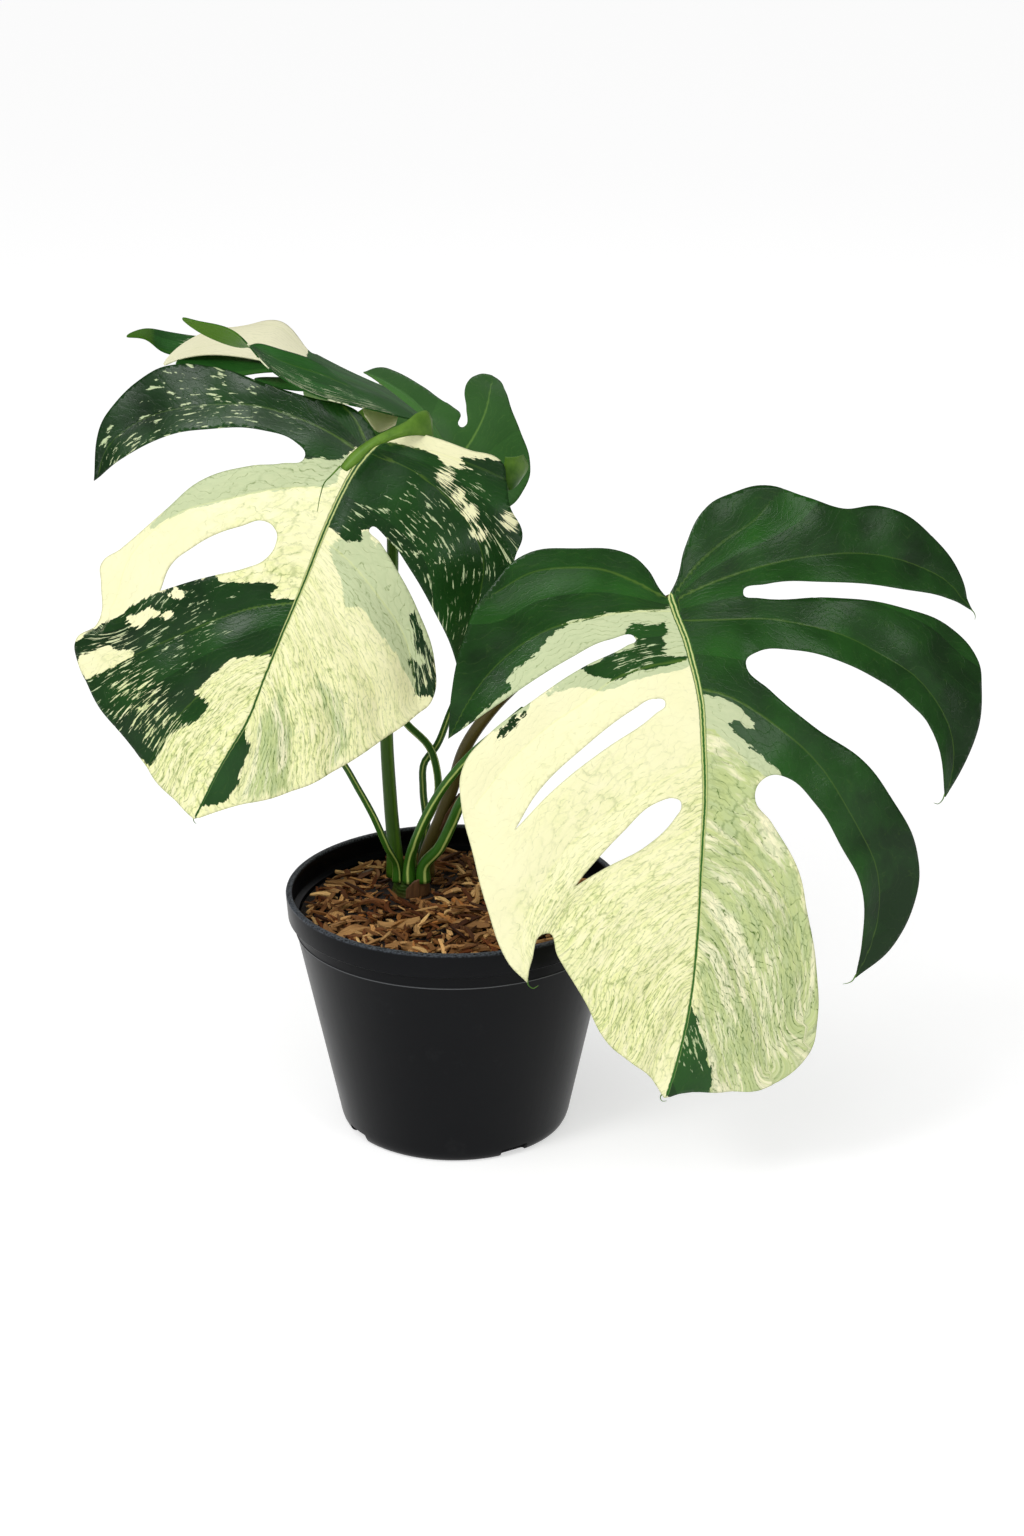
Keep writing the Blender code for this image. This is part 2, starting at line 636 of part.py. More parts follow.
def make_plant(plant):
    blade_green = material("leaf_green", (0.030, 0.075, 0.018), 0.35)
    blade_cream = material("leaf_cream", (0.78, 0.78, 0.42), 0.40)
    stalk_green = material("stalk_green", (0.055, 0.13, 0.012), 0.45)
    dry_brown = material("dry_sheath", (0.16, 0.06, 0.03), 0.7)

    # The right leaf hangs in front of the rim, so it stands clear of however wide the pot is.
    drawn_reach = 0.126
    clear = Vector((0.35, -0.94, 0)) * (POT_RIM_RADIUS + HANG_CLEARANCE - drawn_reach)
    right = Blade(
        base=soil_point(128, -80, 226) + clear,
        turn=6,
        tilt=22,
        swing=0.5,
        bend=(-8, 9),
        fold=(3, 5),
        droop=(7, 10),
        bow=18,
        length=RIGHT_BLADE_LENGTH,
    )
    left = Blade(
        base=soil_point(-46, 20, 290),
        turn=-4,
        tilt=25,
        swing=25.5,
        bend=(-4, 9),
        fold=(4, 5),
        droop=(7, 14),
        bow=8,
        length=LEFT_BLADE_LENGTH,
    )
    back = Blade(
        base=soil_point(2, 104, 246),
        turn=8,
        tilt=42,
        swing=178,
        bend=(-1, 30),
        fold=(5, 5),
        droop=(15, 15),
        bow=0,
        length=BACK_BLADE_LENGTH,
    )
    drawn = {"right": 0.303, "left": 0.255, "back": 0.150}
    loops = [RIGHT_OUTLINE, *RIGHT_HOLES]
    make_blade(
        "right_blade", right, loops, RIGHT_BLADE_LENGTH / drawn["right"], plant, blade_cream
    )
    loops = [LEFT_OUTLINE, *LEFT_HOLES]
    make_blade("left_blade", left, loops, LEFT_BLADE_LENGTH / drawn["left"], plant, blade_cream)
    scale = BACK_BLADE_LENGTH / drawn["back"]
    make_blade("back_blade", back, [BACK_OUTLINE], scale, plant, blade_green)
    make_top_blade(plant, blade_green)

    route = [(-8, 18, 52), (-1, 16, 72), (7, 10, 100), (21, 0, 126), (53, -22, 166), (88, -44, 197)]
    head = blade_head(right, 3.2 * MM)
    make_petiole(
        "right_petiole", (-18, 22), route, (4.4, 3.2), plant, stalk_green, head, clear
    )
    route = [(-40, 25, 60), (-42, 30, 103), (-40, 36, 162), (-37, 40, 216), (-39, 42, 257),
             (-43, 38, 276)]
    head = blade_head(left, 3.2 * MM)
    make_petiole("left_petiole", (-37.5, 22), route, (4.6, 3.2), plant, stalk_green, head)
    route = [(-10, 34, 67), (-15, 42, 88), (-32, 54, 103), (-47, 66, 139), (-57, 80, 200),
             (-51, 84, 251), (-30, 74, 280), (-22, 64, 294)]
    make_petiole("top_petiole", (-27, 30.5), route, (2.6, 2.0), plant, stalk_green)
    route = [(-18, 41, 35), (-20, 45, 60), (-19, 48, 77), (-12, 50, 86), (-3, 55, 107),
             (15, 70, 146), (27, 90, 182), (26, 112, 212), (13, 121, 232)]
    head = blade_head(back, 1.9 * MM)
    make_petiole("back_petiole", (-20.5, 32), route, (2.5, 1.9), plant, stalk_green, head)
    route = [(-42, 4, 38), (-50, 0, 60), (-59, -4, 80), (-67, -8, 97), (-78, -9, 112),
             (-88, -9, 124)]
    make_petiole("left_side_petiole", (-36, 12.5), route, (2.5, 1.8), plant, stalk_green)
    route = [(-21, 2, 49), (-10, -2, 73), (0, -8, 90), (11, -14, 106), (29, -26, 129),
             (47, -36, 149)]
    make_petiole("front_petiole", (-28.5, 11.5), route, (3.4, 2.3), plant, stalk_green)
    route = [(-9, 8, 35), (0, 4, 56), (4, 0, 67), (20, -8, 90), (38, -18, 116), (53, -24, 135)]
    make_petiole("right_side_petiole", (-19.5, 12.5), route, (3.9, 2.9), plant, stalk_green)

    sheath_radius = STEM_RADIUS + SHEATH_THICKNESS / 2 + 2 * REST_CLEARANCE
    sheath = curved_plate(
        "stem_sheath",
        sheath_radius,
        SHEATH_THICKNESS,
        SHEATH_HEIGHT,
        -100,
        -25,
        dry_brown,
        plant,
    )
    middle = soil_height(0) + SHEATH_HEIGHT / 2 + REST_CLEARANCE
    sheath.location = (*STEM_PLACE, middle)

    wrap_radius = 4.3 * MM + CATAPHYLL_THICKNESS / 2 + 3 * REST_CLEARANCE
    wrap = curved_plate(
        "cataphyll",
        wrap_radius,
        CATAPHYLL_THICKNESS,
        CATAPHYLL_LENGTH,
        -150,
        -10,
        dry_brown,
        plant,
    )
    # The cataphyll wraps the right stalk between its first two bends, and moves over with it.
    start = soil_point(-9.5, 18.4, 48) + clear * 0.133
    end = soil_point(-2.5, 16.4, 68) + clear * 0.3
    wrap.rotation_euler = (end - start).to_track_quat("Z", "Y").to_euler()
    wrap.location = (start + end) / 2


def build():
    plant, cutters = start_empty()
    make_pot(plant, cutters)
    make_potting_mix(plant, cutters)
    make_stem(plant)
    make_bark_chips(plant)
    make_twig(plant)
    make_plant(plant)
    bpy.context.view_layer.update()


build()
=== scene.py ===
"""Looks of the potted variegated monstera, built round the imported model.

Metres, +Z up. Leaf outlines, stalk routes and cages are in millimetres, with heights measured from the
top of the potting mix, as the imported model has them.
"""

import math

import bmesh
import bpy
import numpy as np
from mathutils import Matrix, Vector


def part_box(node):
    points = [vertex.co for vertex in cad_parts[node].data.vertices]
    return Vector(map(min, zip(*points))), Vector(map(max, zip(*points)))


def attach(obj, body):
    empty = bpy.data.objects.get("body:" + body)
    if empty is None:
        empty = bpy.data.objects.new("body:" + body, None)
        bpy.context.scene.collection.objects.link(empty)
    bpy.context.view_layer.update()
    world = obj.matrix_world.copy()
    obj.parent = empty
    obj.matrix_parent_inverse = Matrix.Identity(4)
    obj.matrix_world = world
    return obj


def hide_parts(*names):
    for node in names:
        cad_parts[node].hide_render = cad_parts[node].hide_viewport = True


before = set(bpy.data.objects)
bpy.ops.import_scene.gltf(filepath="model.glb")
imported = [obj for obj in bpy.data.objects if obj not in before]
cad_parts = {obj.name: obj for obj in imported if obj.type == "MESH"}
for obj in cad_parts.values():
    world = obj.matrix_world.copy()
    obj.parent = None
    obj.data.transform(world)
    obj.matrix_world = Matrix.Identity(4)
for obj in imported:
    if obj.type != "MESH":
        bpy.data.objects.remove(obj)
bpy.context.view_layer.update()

# ---------------------------------------------------------------------------------------------
# Camera: a long lens a little above the plant, looking down onto the potting mix, so that the
# rim shows as a shallow ellipse. The plant is kept left of the middle, as it is seen.
# ---------------------------------------------------------------------------------------------

CAMERA_PITCH = 20.9
CAMERA_PLACE = (0.03625, -1.84199, 0.93867)


def put_in_scene(name, data):
    """A new object with this data, linked to the scene."""
    made = bpy.data.objects.new(name, data)
    bpy.context.scene.collection.objects.link(made)
    return made


lens = bpy.data.cameras.new("camera")
lens.lens = 75
lens.sensor_fit = "VERTICAL"
lens.sensor_height = 36
camera = put_in_scene("camera", lens)
camera.location = CAMERA_PLACE
camera.rotation_euler = (math.radians(90 - CAMERA_PITCH), 0, 0)
bpy.context.scene.camera = camera

# ---------------------------------------------------------------------------------------------
# Nursery pot: injection-moulded black polypropylene with a thick rolled lip, a rim band, a fine
# parting line under the band, four drainage notches in the foot and six holes in the floor.
# ---------------------------------------------------------------------------------------------

MM = 0.001
POT_LOW, POT_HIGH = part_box("pot")
RIM_RADIUS = (POT_HIGH.x - POT_LOW.x) / 2
POT_HEIGHT = POT_HIGH.z
BASE_RADIUS = 0.0715
WALL = 0.0020
LIP = 0.0040
BAND_HEIGHT = 0.016
BAND_STEP = 0.0045
BAND_TAPER = 0.0012
CORNER = 0.007
FLOOR_TOP = 0.006
FLOOR_UNDER = 0.004
HUB_RADIUS = 0.031
LINE_DROP = 0.0086
POT_STEPS = 144
NOTCH_SIZE = (0.016, 0.019, 0.012)
NOTCH_TURN = -58
DRAIN_RADIUS = 0.0055
DRAIN_REACH = 0.0477
DRAIN_TURN = 15


class Value:
    """What one shader node gives. Arithmetic on it adds the maths nodes that work it out."""

    def __init__(self, nodes, socket):
        self.nodes = nodes
        self.socket = socket

    def __add__(self, other):
        return self.nodes.math("ADD", self, other)

    def __sub__(self, other):
        return self.nodes.math("SUBTRACT", self, other)

    def __rsub__(self, other):
        return self.nodes.math("SUBTRACT", other, self)

    def __mul__(self, other):
        return self.nodes.math("MULTIPLY", self, other)

    def __abs__(self):
        return self.nodes.math("ABSOLUTE", self)


class Nodes:
    """Adds and joins the nodes of one material or one node group."""

    def __init__(self, tree):
        self.tree = tree

    def add(self, kind, **settings):
        node = self.tree.nodes.new(kind)
        for key, value in settings.items():
            setattr(node, key, value)
        return node

    def put(self, socket, value):
        if isinstance(value, Value):
            value = value.socket
        if isinstance(value, bpy.types.NodeSocket):
            self.tree.links.new(value, socket)
        else:
            socket.default_value = value

    def fill(self, node, *values):
        """Gives a node's first inputs these values, and returns what its first output gives."""
        for socket, value in zip(node.inputs, values):
            self.put(socket, value)
        return Value(self, node.outputs[0])

    def math(self, kind, *values, clamp=False):
        return self.fill(self.add("ShaderNodeMath", operation=kind, use_clamp=clamp), *values)

    def ramp(self, value, low, high):
        """0 below low, 1 above high, and an even rise between them."""
        return self.fill(self.add("ShaderNodeMapRange", clamp=True), value, low, high)

    def place(self, *parts):
        return self.fill(self.add("ShaderNodeCombineXYZ"), *parts)

    def parts(self, vector):
        node = self.add("ShaderNodeSeparateXYZ")
        self.put(node.inputs[0], vector)
        return [Value(self, output) for output in node.outputs]

    def blend(self, amount, first, second):
        node = self.add("ShaderNodeMix", data_type="RGBA")
        for number, value in ((0, amount), (6, first), (7, second)):
            self.put(node.inputs[number], value)
        return Value(self, node.outputs[2])

    def noise(self, place, scale=1.0, detail=3.0, roughness=0.6):
        node = self.add("ShaderNodeTexNoise")
        for key, value in (("Vector", place), ("Scale", scale), ("Detail", detail), ("Roughness", roughness)):
            self.put(node.inputs[key], value)
        return Value(self, node.outputs["Fac"])

    def attribute(self, name):
        return self.add("ShaderNodeAttribute", attribute_name=name).outputs["Vector"]

    def here(self):
        return self.add("ShaderNodeTexCoord").outputs["Object"]

    def bump(self, height, strength, distance=0.0004):
        node = self.add("ShaderNodeBump")
        for key, value in (("Strength", strength), ("Distance", distance), ("Height", height)):
            self.put(node.inputs[key], value)
        return node.outputs["Normal"]

    def surface(self, **inputs):
        """Sets inputs of the material's Principled BSDF. An underscore stands for a space."""
        shader = self.tree.nodes["Principled BSDF"]
        for key, value in inputs.items():
            self.put(shader.inputs[key.replace("_", " ")], value)


def finish_of(name, roughness=0.5, specular=0.5):
    """A new material, and the helper that adds its nodes."""
    made = bpy.data.materials.new(name)
    made.use_nodes = True
    nodes = Nodes(made.node_tree)
    nodes.surface(Roughness=roughness, Specular_IOR_Level=specular)
    return made, nodes


def tone(red, green, blue):
    """A colour given as 0 to 255 on screen, as the shader's linear colour."""
    linear = []
    for value in (red, green, blue):
        share = value / 255
        linear.append(share / 12.92 if share <= 0.04045 else ((share + 0.055) / 1.055) ** 2.4)
    return (*linear, 1.0)


def add_piece(name, mesh, finishes, stands_for=(), smooth=True):
    """Puts a finished mesh into the scene as a piece of the plant."""
    for finish in finishes:
        mesh.materials.append(finish)
    for face in mesh.polygons:
        face.use_smooth = smooth
    piece = put_in_scene(name, mesh)
    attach(piece, "root")
    if stands_for:
        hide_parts(*stands_for)
    return piece


def mesh_from(bm, name):
    mesh = bpy.data.meshes.new(name)
    bm.to_mesh(mesh)
    bm.free()
    return mesh


def mesh_of(helper, *others):
    """The mesh that a helper object makes. The helper and the others are then removed."""
    graph = bpy.context.evaluated_depsgraph_get()
    made = bpy.data.meshes.new_from_object(helper.evaluated_get(graph))
    for used in (helper, *others):
        bpy.data.objects.remove(used, do_unlink=True)
    return made


def outer_radius(height):
    """The radius of the pot's wall at this height, below the band."""
    low = BASE_RADIUS + 0.0015
    share = (height - CORNER) / (POT_HEIGHT - BAND_HEIGHT - CORNER)
    return low + (RIM_RADIUS - BAND_STEP - BAND_TAPER - low) * share


def spun(profile, steps, start=0.0, sweep=math.tau):
    """A profile of (radius, height), spun about Z into a skin."""
    bm = bmesh.new()
    verts = [bm.verts.new((radius, 0, height)) for radius, height in profile]
    edges = [bm.edges.new(pair) for pair in zip(verts, verts[1:])]
    bm.transform(Matrix.Rotation(start, 4, "Z"))
    bmesh.ops.spin(
        bm, geom=verts + edges, cent=(0, 0, 0), axis=(0, 0, 1), angle=sweep, steps=steps,
        use_merge=sweep == math.tau,
    )
    bmesh.ops.remove_doubles(bm, verts=bm.verts, dist=1e-6)
    bmesh.ops.recalc_face_normals(bm, faces=bm.faces)
    return bm


def cut_from(mesh, cutters):
    """The mesh with each cutter's mesh taken out of it."""
    scratch = put_in_scene("scratch", mesh)
    tools = [put_in_scene("tool", cutter) for cutter in cutters]
    for tool in tools:
        modifier = scratch.modifiers.new("cut", "BOOLEAN")
        modifier.operation = "DIFFERENCE"
        modifier.object = tool
    return mesh_of(scratch, *tools)


def turned_out(bm, degrees, reach, name):
    """A cutter moved out along X and turned about the pot's axis."""
    bm.transform(Matrix.Rotation(math.radians(degrees), 4, "Z") @ Matrix.Translation((reach, 0, 0)))
    return mesh_from(bm, name)


band_low = POT_HEIGHT - BAND_HEIGHT
band_radius = RIM_RADIUS - BAND_TAPER
body_top = band_radius - BAND_STEP
lip_radius = RIM_RADIUS - LIP
inside_corner = outer_radius(CORNER) - WALL
pot_profile = [
    (0, WALL), (HUB_RADIUS - 0.004, WALL), (HUB_RADIUS - 0.001, FLOOR_TOP),
    (inside_corner - 0.004, FLOOR_TOP),
    (inside_corner - 0.001, FLOOR_TOP + 0.0012), (outer_radius(0.011) - WALL, 0.011),
    (outer_radius(band_low) - WALL, band_low + 0.001), (band_radius - WALL - 0.0008, band_low + 0.0022),
    (band_radius - WALL, band_low + 0.0045), (lip_radius, POT_HEIGHT - 0.0050),
    (lip_radius, POT_HEIGHT - 0.0010), (lip_radius + 0.0003, POT_HEIGHT - 0.0003),
    (lip_radius + 0.0008, POT_HEIGHT),
    (RIM_RADIUS - 0.0008, POT_HEIGHT), (RIM_RADIUS - 0.0002, POT_HEIGHT - 0.0004),
    (RIM_RADIUS, POT_HEIGHT - 0.0011), (band_radius + 0.0001, band_low + 0.0008),
    (band_radius - 0.0006, band_low + 0.0001), (body_top + 0.0012, band_low - 0.0003),
    (body_top + 0.0003, band_low - 0.0012), (body_top - 0.0001, band_low - LINE_DROP + 0.0006),
    (body_top + 0.0003, band_low - LINE_DROP + 0.0003), (body_top + 0.0002, band_low - LINE_DROP - 0.0003),
    (body_top - 0.0004, band_low - LINE_DROP - 0.0006), (outer_radius(CORNER + 0.004), CORNER + 0.004),
    (outer_radius(CORNER), CORNER), (BASE_RADIUS + 0.0005, CORNER * 0.55),
    (BASE_RADIUS - 0.0008, CORNER * 0.2), (BASE_RADIUS - 0.003, 0), (BASE_RADIUS - 0.007, 0),
    (BASE_RADIUS - 0.0086, FLOOR_UNDER), (HUB_RADIUS, FLOOR_UNDER), (HUB_RADIUS - 0.003, 0), (0, 0),
]
notches = []
for number in range(4):
    bm = bmesh.new()
    bmesh.ops.create_cube(bm, size=1)
    bmesh.ops.scale(bm, vec=NOTCH_SIZE, verts=bm.verts)
    bmesh.ops.bevel(
        bm, geom=list(bm.edges), offset=0.0012, segments=3, profile=0.5, affect="EDGES", material=-1
    )
    notches.append(turned_out(bm, NOTCH_TURN + 90 * number, BASE_RADIUS + 0.002, "notch"))
for number in range(6):
    bm = bmesh.new()
    bmesh.ops.create_cone(
        bm, cap_ends=True, segments=32, radius1=DRAIN_RADIUS, radius2=DRAIN_RADIUS, depth=0.03
    )
    notches.append(turned_out(bm, DRAIN_TURN + 60 * number, DRAIN_REACH, "drain"))

pot_plastic, nodes = finish_of("pot_plastic", 0.5, 0.11)
here = nodes.here()
x, y, z = nodes.parts(here)
drawn = nodes.noise(nodes.place(nodes.math("ARCTAN2", y, x) * 9.0, z * 18.0))
clouds = nodes.noise(here, 14.0, 4.0)
grains = nodes.noise(here, 900.0, 2.0)
dust = nodes.ramp(nodes.noise(here, 45.0, 5.0, 0.7), 0.60, 0.80)
# Lighter grey along the top of the lip: partly scuffed wear, partly a painted highlight where the top edge
# catches the light.
scuffs_and_highlight = nodes.ramp(z, POT_HEIGHT - 0.0018, POT_HEIGHT - 0.0004) * nodes.ramp(grains, 0.35, 0.6)
line = 1.0 - nodes.ramp(abs(z - (band_low - LINE_DROP)), 0.0002, 0.0006)
black = nodes.blend(clouds, tone(4, 5, 7), tone(11, 12, 15))
black = nodes.blend(scuffs_and_highlight * 0.65, black, tone(92, 98, 106))
black = nodes.blend(dust * 0.12, black, tone(60, 62, 62))
nodes.surface(
    Base_Color=nodes.blend(line * 0.5, black, tone(110, 112, 114)),
    Roughness=dust * 0.15 + (clouds * 0.20 + 0.22),
    Normal=nodes.bump(drawn * 0.6 + grains * 0.25, 0.35),
)

pot_mesh = cut_from(mesh_from(spun(pot_profile, POT_STEPS), "pot_skin"), notches)
pot_mesh.materials.clear()
pot_piece = add_piece("nursery_pot", pot_mesh, [pot_plastic], ["pot"])
pot_piece.data.set_sharp_from_angle(angle=math.radians(38))

# ---------------------------------------------------------------------------------------------
# Potting mix: a dark, damp mix heaped a little round the stem. Only glimpses of it show between
# the bark that covers it.
# ---------------------------------------------------------------------------------------------

MIX_LOW, MIX_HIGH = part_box("potting_mix")
SOIL_TOP_Z = MIX_HIGH.z
SOIL_EDGE_Z = SOIL_TOP_Z - 0.005
BED_RADIUS = (MIX_HIGH.x - MIX_LOW.x) / 2
SLOPE_SHARE = 0.58


def soil_height(radius):
    share = min(max((BED_RADIUS - radius) / (BED_RADIUS * SLOPE_SHARE), 0), 1)
    return SOIL_EDGE_Z + (SOIL_TOP_Z - SOIL_EDGE_Z) * share


damp_mix, nodes = finish_of("damp_mix", 0.9)
here = nodes.here()
lumps = nodes.noise(here, 160.0, 6.0, 0.7)
nodes.surface(
    Base_Color=nodes.blend(nodes.ramp(lumps, 0.35, 0.7), tone(10, 6, 4), tone(38, 22, 12)),
    Normal=nodes.bump(lumps + nodes.noise(here, 700.0), 1.0, 0.002),
)
mix_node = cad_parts["potting_mix"]
mix_node.data.materials.clear()
mix_node.data.materials.append(damp_mix)

# ---------------------------------------------------------------------------------------------
# Bark mulch: shredded bark and wood splinters of every length, thrown loosely over the mix. They
# weather from pale tan, where freshly split, to a dark wet brown.
# ---------------------------------------------------------------------------------------------

SPLINTER_COUNT = 1100
SHAPES = 14
STEM_PLACE = (-0.028, 0.021)
STEM_RADIUS = 0.0118
SLAB_HEADINGS = (10, 60, -25, 35, 80, -70, -15, 20, 5, 75, 40, -30, 15, -50)

bark, nodes = finish_of("shredded_bark", 0.8, 0.15)
shade_share, fresh_share, _ = nodes.parts(nodes.attribute("chip"))
grain_x, grain_y, grain_z = nodes.parts(nodes.attribute("grain"))
streaks = nodes.noise(nodes.place(grain_x * 90.0, grain_y * 1500.0, grain_z), 1.0, 4.0)
dark_wood = nodes.blend(shade_share, tone(26, 11, 4), tone(112, 60, 25))
pale_wood = nodes.blend(shade_share, tone(170, 106, 48), tone(244, 200, 132))
wood = nodes.blend(fresh_share, dark_wood, pale_wood)
nodes.surface(
    Base_Color=nodes.blend(nodes.ramp(streaks, 0.45, 0.72), wood, nodes.blend(0.62, wood, tone(34, 18, 9))),
    Roughness=streaks * 0.3 + 0.55,
    Normal=nodes.bump(streaks, 0.7, 0.0005),
)

luck = np.random.default_rng(7)


def splinter_shape(flat):
    """One splinter 1 long along X, narrowing to its ends, bowed and a little twisted."""
    bm = bmesh.new()
    bmesh.ops.create_cube(bm, size=1)
    long_edges = [edge for edge in bm.edges if abs(edge.verts[0].co.x - edge.verts[1].co.x) > 0.5]
    bmesh.ops.subdivide_edges(bm, edges=long_edges, cuts=4, use_grid_fill=True)
    bow = luck.uniform(-1.1, 1.1)
    lift = luck.uniform(-1.2, 1.2)
    blunt = luck.uniform(0.15, 0.8, 2)
    twist = luck.uniform(-0.9, 0.9)
    for vert in bm.verts:
        x = vert.co.x
        end = blunt[0] if x < 0 else blunt[1]
        narrow = 1 - (1 - end) * min(abs(x) * 2, 1) ** 2
        y = vert.co.y * narrow * luck.uniform(0.75, 1.2)
        z = vert.co.z * flat * (0.4 + 0.6 * narrow) * luck.uniform(0.8, 1.15)
        turn = twist * x
        vert.co.x += luck.uniform(-0.05, 0.05)
        vert.co.y = y * math.cos(turn) - z * math.sin(turn) + bow * 4 * (0.25 - x * x)
        vert.co.z = y * math.sin(turn) + z * math.cos(turn) + lift * (0.25 - x * x)
    return mesh_from(bm, "splinter")


def strew(name, places, stands_for=()):
    """Joins splinters, each (shape, place, size, tone, freshness), into one piece."""
    bm = bmesh.new()
    chip_layer = bm.verts.layers.float_vector.new("chip")
    grain_layer = bm.verts.layers.float_vector.new("grain")
    for number, (shape, place, size, shade, fresh) in enumerate(places):
        bm.from_mesh(shape)
        bm.verts.ensure_lookup_table()
        fresh_verts = bm.verts[len(bm.verts) - len(shape.vertices):]
        for vert in fresh_verts:
            local = Vector((vert.co.x * size[0], vert.co.y * size[1], vert.co.z * size[2]))
            vert[grain_layer] = (local.x, local.y + local.z * 0.4, number * 1.7)
            vert[chip_layer] = (shade, fresh, 0)
            vert.co = place @ local
    return add_piece(name, mesh_from(bm, name), [bark], stands_for, smooth=False)


shapes = [splinter_shape(1.0) for _ in range(SHAPES)]


def lying(x, y, rise, heading, roll, pitch):
    spot = Vector((x, y, soil_height(math.hypot(x, y)) + rise))
    turn = Matrix.Rotation(heading, 4, "Z") @ Matrix.Rotation(pitch, 4, "Y") @ Matrix.Rotation(roll, 4, "X")
    return Matrix.Translation(spot) @ turn


def scattered(count, lengths, widths, thicknesses, rise):
    """Splinters strewn evenly over the bed, clear of the stem and of the pot's wall."""
    made = []
    while len(made) < count:
        length = luck.uniform(*lengths) * MM
        reach = (BED_RADIUS - 0.0015 - length * 0.42) * math.sqrt(luck.uniform(0, 1))
        angle = luck.uniform(0, math.tau)
        x = reach * math.cos(angle)
        y = reach * math.sin(angle)
        if math.hypot(x - STEM_PLACE[0], y - STEM_PLACE[1]) < STEM_RADIUS + length * 0.5:
            continue
        size = (length, luck.uniform(*widths) * MM, luck.uniform(*thicknesses) * MM)
        tilt = luck.normal(0, 0.26)
        place = lying(x, y, luck.uniform(*rise) * MM, luck.uniform(0, math.tau), luck.normal(0, 0.5), tilt)
        shape = shapes[luck.integers(SHAPES)]
        fresh = float(luck.uniform(0, 1) ** 2.4)
        made.append((shape, place, size, float(luck.uniform(0, 1)), fresh))
    return made


strew("bark_fines", scattered(SPLINTER_COUNT, (4, 11), (1.0, 2.4), (0.7, 1.4), (0.3, 2.0)))
strew("bark_splinters", scattered(SPLINTER_COUNT // 2, (12, 24), (1.6, 3.8), (0.9, 2.0), (1.4, 5.0)))

bark_nodes = sorted(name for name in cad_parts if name.startswith("bark_chip"))
for number, (node, degrees) in enumerate(zip(bark_nodes, SLAB_HEADINGS)):
    low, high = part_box(node)
    middle = (low + high) / 2
    above = middle.z - soil_height(math.hypot(middle.x, middle.y)) + 0.0018
    place = lying(middle.x, middle.y, above, math.radians(degrees), 0.15, -0.06)
    size = (0.024 + 0.0005 * (number % 5), 0.0072, 0.0024)
    looks = (0.35 + 0.05 * (number % 9), 0.25 + 0.1 * (number % 6))
    strew(node.replace("bark_chip", "bark_slab"), [(shapes[number % SHAPES], place, size, *looks)], [node])

# ---------------------------------------------------------------------------------------------
# Twig: a thin dead stick lying on the bark at the back, as it came in the mix.
# ---------------------------------------------------------------------------------------------

twig_low, twig_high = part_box("twig")
twig_middle = (twig_low + twig_high) / 2
twig_heading = Matrix.Rotation(math.radians(38), 4, "Z")


def smooth_path(points, count):
    """Evenly spaced points on one smooth curve through these points."""
    gaps = [(after - before).length for before, after in zip(points, points[1:])]
    slopes = [(after - before) / gap for before, after, gap in zip(points, points[1:], gaps)]
    headings = [slopes[0]]
    for i in range(1, len(slopes)):
        near = slopes[i - 1] * gaps[i] + slopes[i] * gaps[i - 1]
        headings.append(near / (gaps[i - 1] + gaps[i]))
    headings.append(slopes[-1])
    made = []
    for step in range(count + 1):
        left = sum(gaps) * step / count
        span = 0
        while span < len(gaps) - 1 and left > gaps[span]:
            left -= gaps[span]
            span += 1
        gap = gaps[span]
        t = min(left / gap, 1)
        place = points[span] * (2 * t**3 - 3 * t**2 + 1)
        place += points[span + 1] * (3 * t**2 - 2 * t**3)
        place += headings[span] * gap * (t**3 - 2 * t**2 + t)
        place += headings[span + 1] * gap * (t**3 - t**2)
        made.append(place)
    return made


def stalk_mesh(name, points, radii, sides):
    """A closed tube along these points, with its own UV map: U runs along it and V runs round it."""
    curve = bpy.data.curves.new(name, "CURVE")
    curve.dimensions = "3D"
    curve.bevel_depth = 1
    curve.bevel_resolution = sides
    curve.use_fill_caps = True
    spline = curve.splines.new("POLY")
    spline.points.add(len(points) - 1)
    for target, place, radius in zip(spline.points, points, radii):
        target.co = (*place, 1)
        target.radius = radius
    spline.use_smooth = True
    mesh = mesh_of(put_in_scene("helper", curve))
    bm = bmesh.new()
    bm.from_mesh(mesh)
    bmesh.ops.remove_doubles(bm, verts=bm.verts, dist=1e-6)
    bm.to_mesh(mesh)
    bm.free()
    mesh.materials.clear()
    return mesh


dead_wood, nodes = finish_of("dead_wood", 0.85)
knots = nodes.noise(nodes.here(), 300.0, 5.0)
nodes.surface(
    Base_Color=nodes.blend(knots, tone(70, 58, 46), tone(128, 112, 92)), Normal=nodes.bump(knots, 0.8, 0.0006)
)

twig_points = []
twig_radii = []
for i in range(11):
    local = Vector((-0.023 + 0.0046 * i, 0.0008 * math.sin(i * 1.3), 0.0016 + 0.0004 * (i % 3)))
    twig_points.append(twig_middle + twig_heading @ local)
    twig_radii.append(0.0012 - 0.00006 * i + 0.0002 * (i % 4 == 0))
twig_mesh = stalk_mesh("dead_twig", twig_points, twig_radii, 2)
add_piece("dead_twig", twig_mesh, [dead_wood], ["twig"])

# ---------------------------------------------------------------------------------------------
# Stem: the short, knobbly rootstock that all the stalks rise from. It is olive green where the
# light reaches it and brown below, ringed by the scars of old leaves.
# ---------------------------------------------------------------------------------------------

STEM_ABOVE_SOIL = 0.0135
STEM_TOP_Z = SOIL_TOP_Z + STEM_ABOVE_SOIL
STEM_HEIGHT = 0.024
FOOT_GAP = 0.0008
FOOT_RISE = 0.005

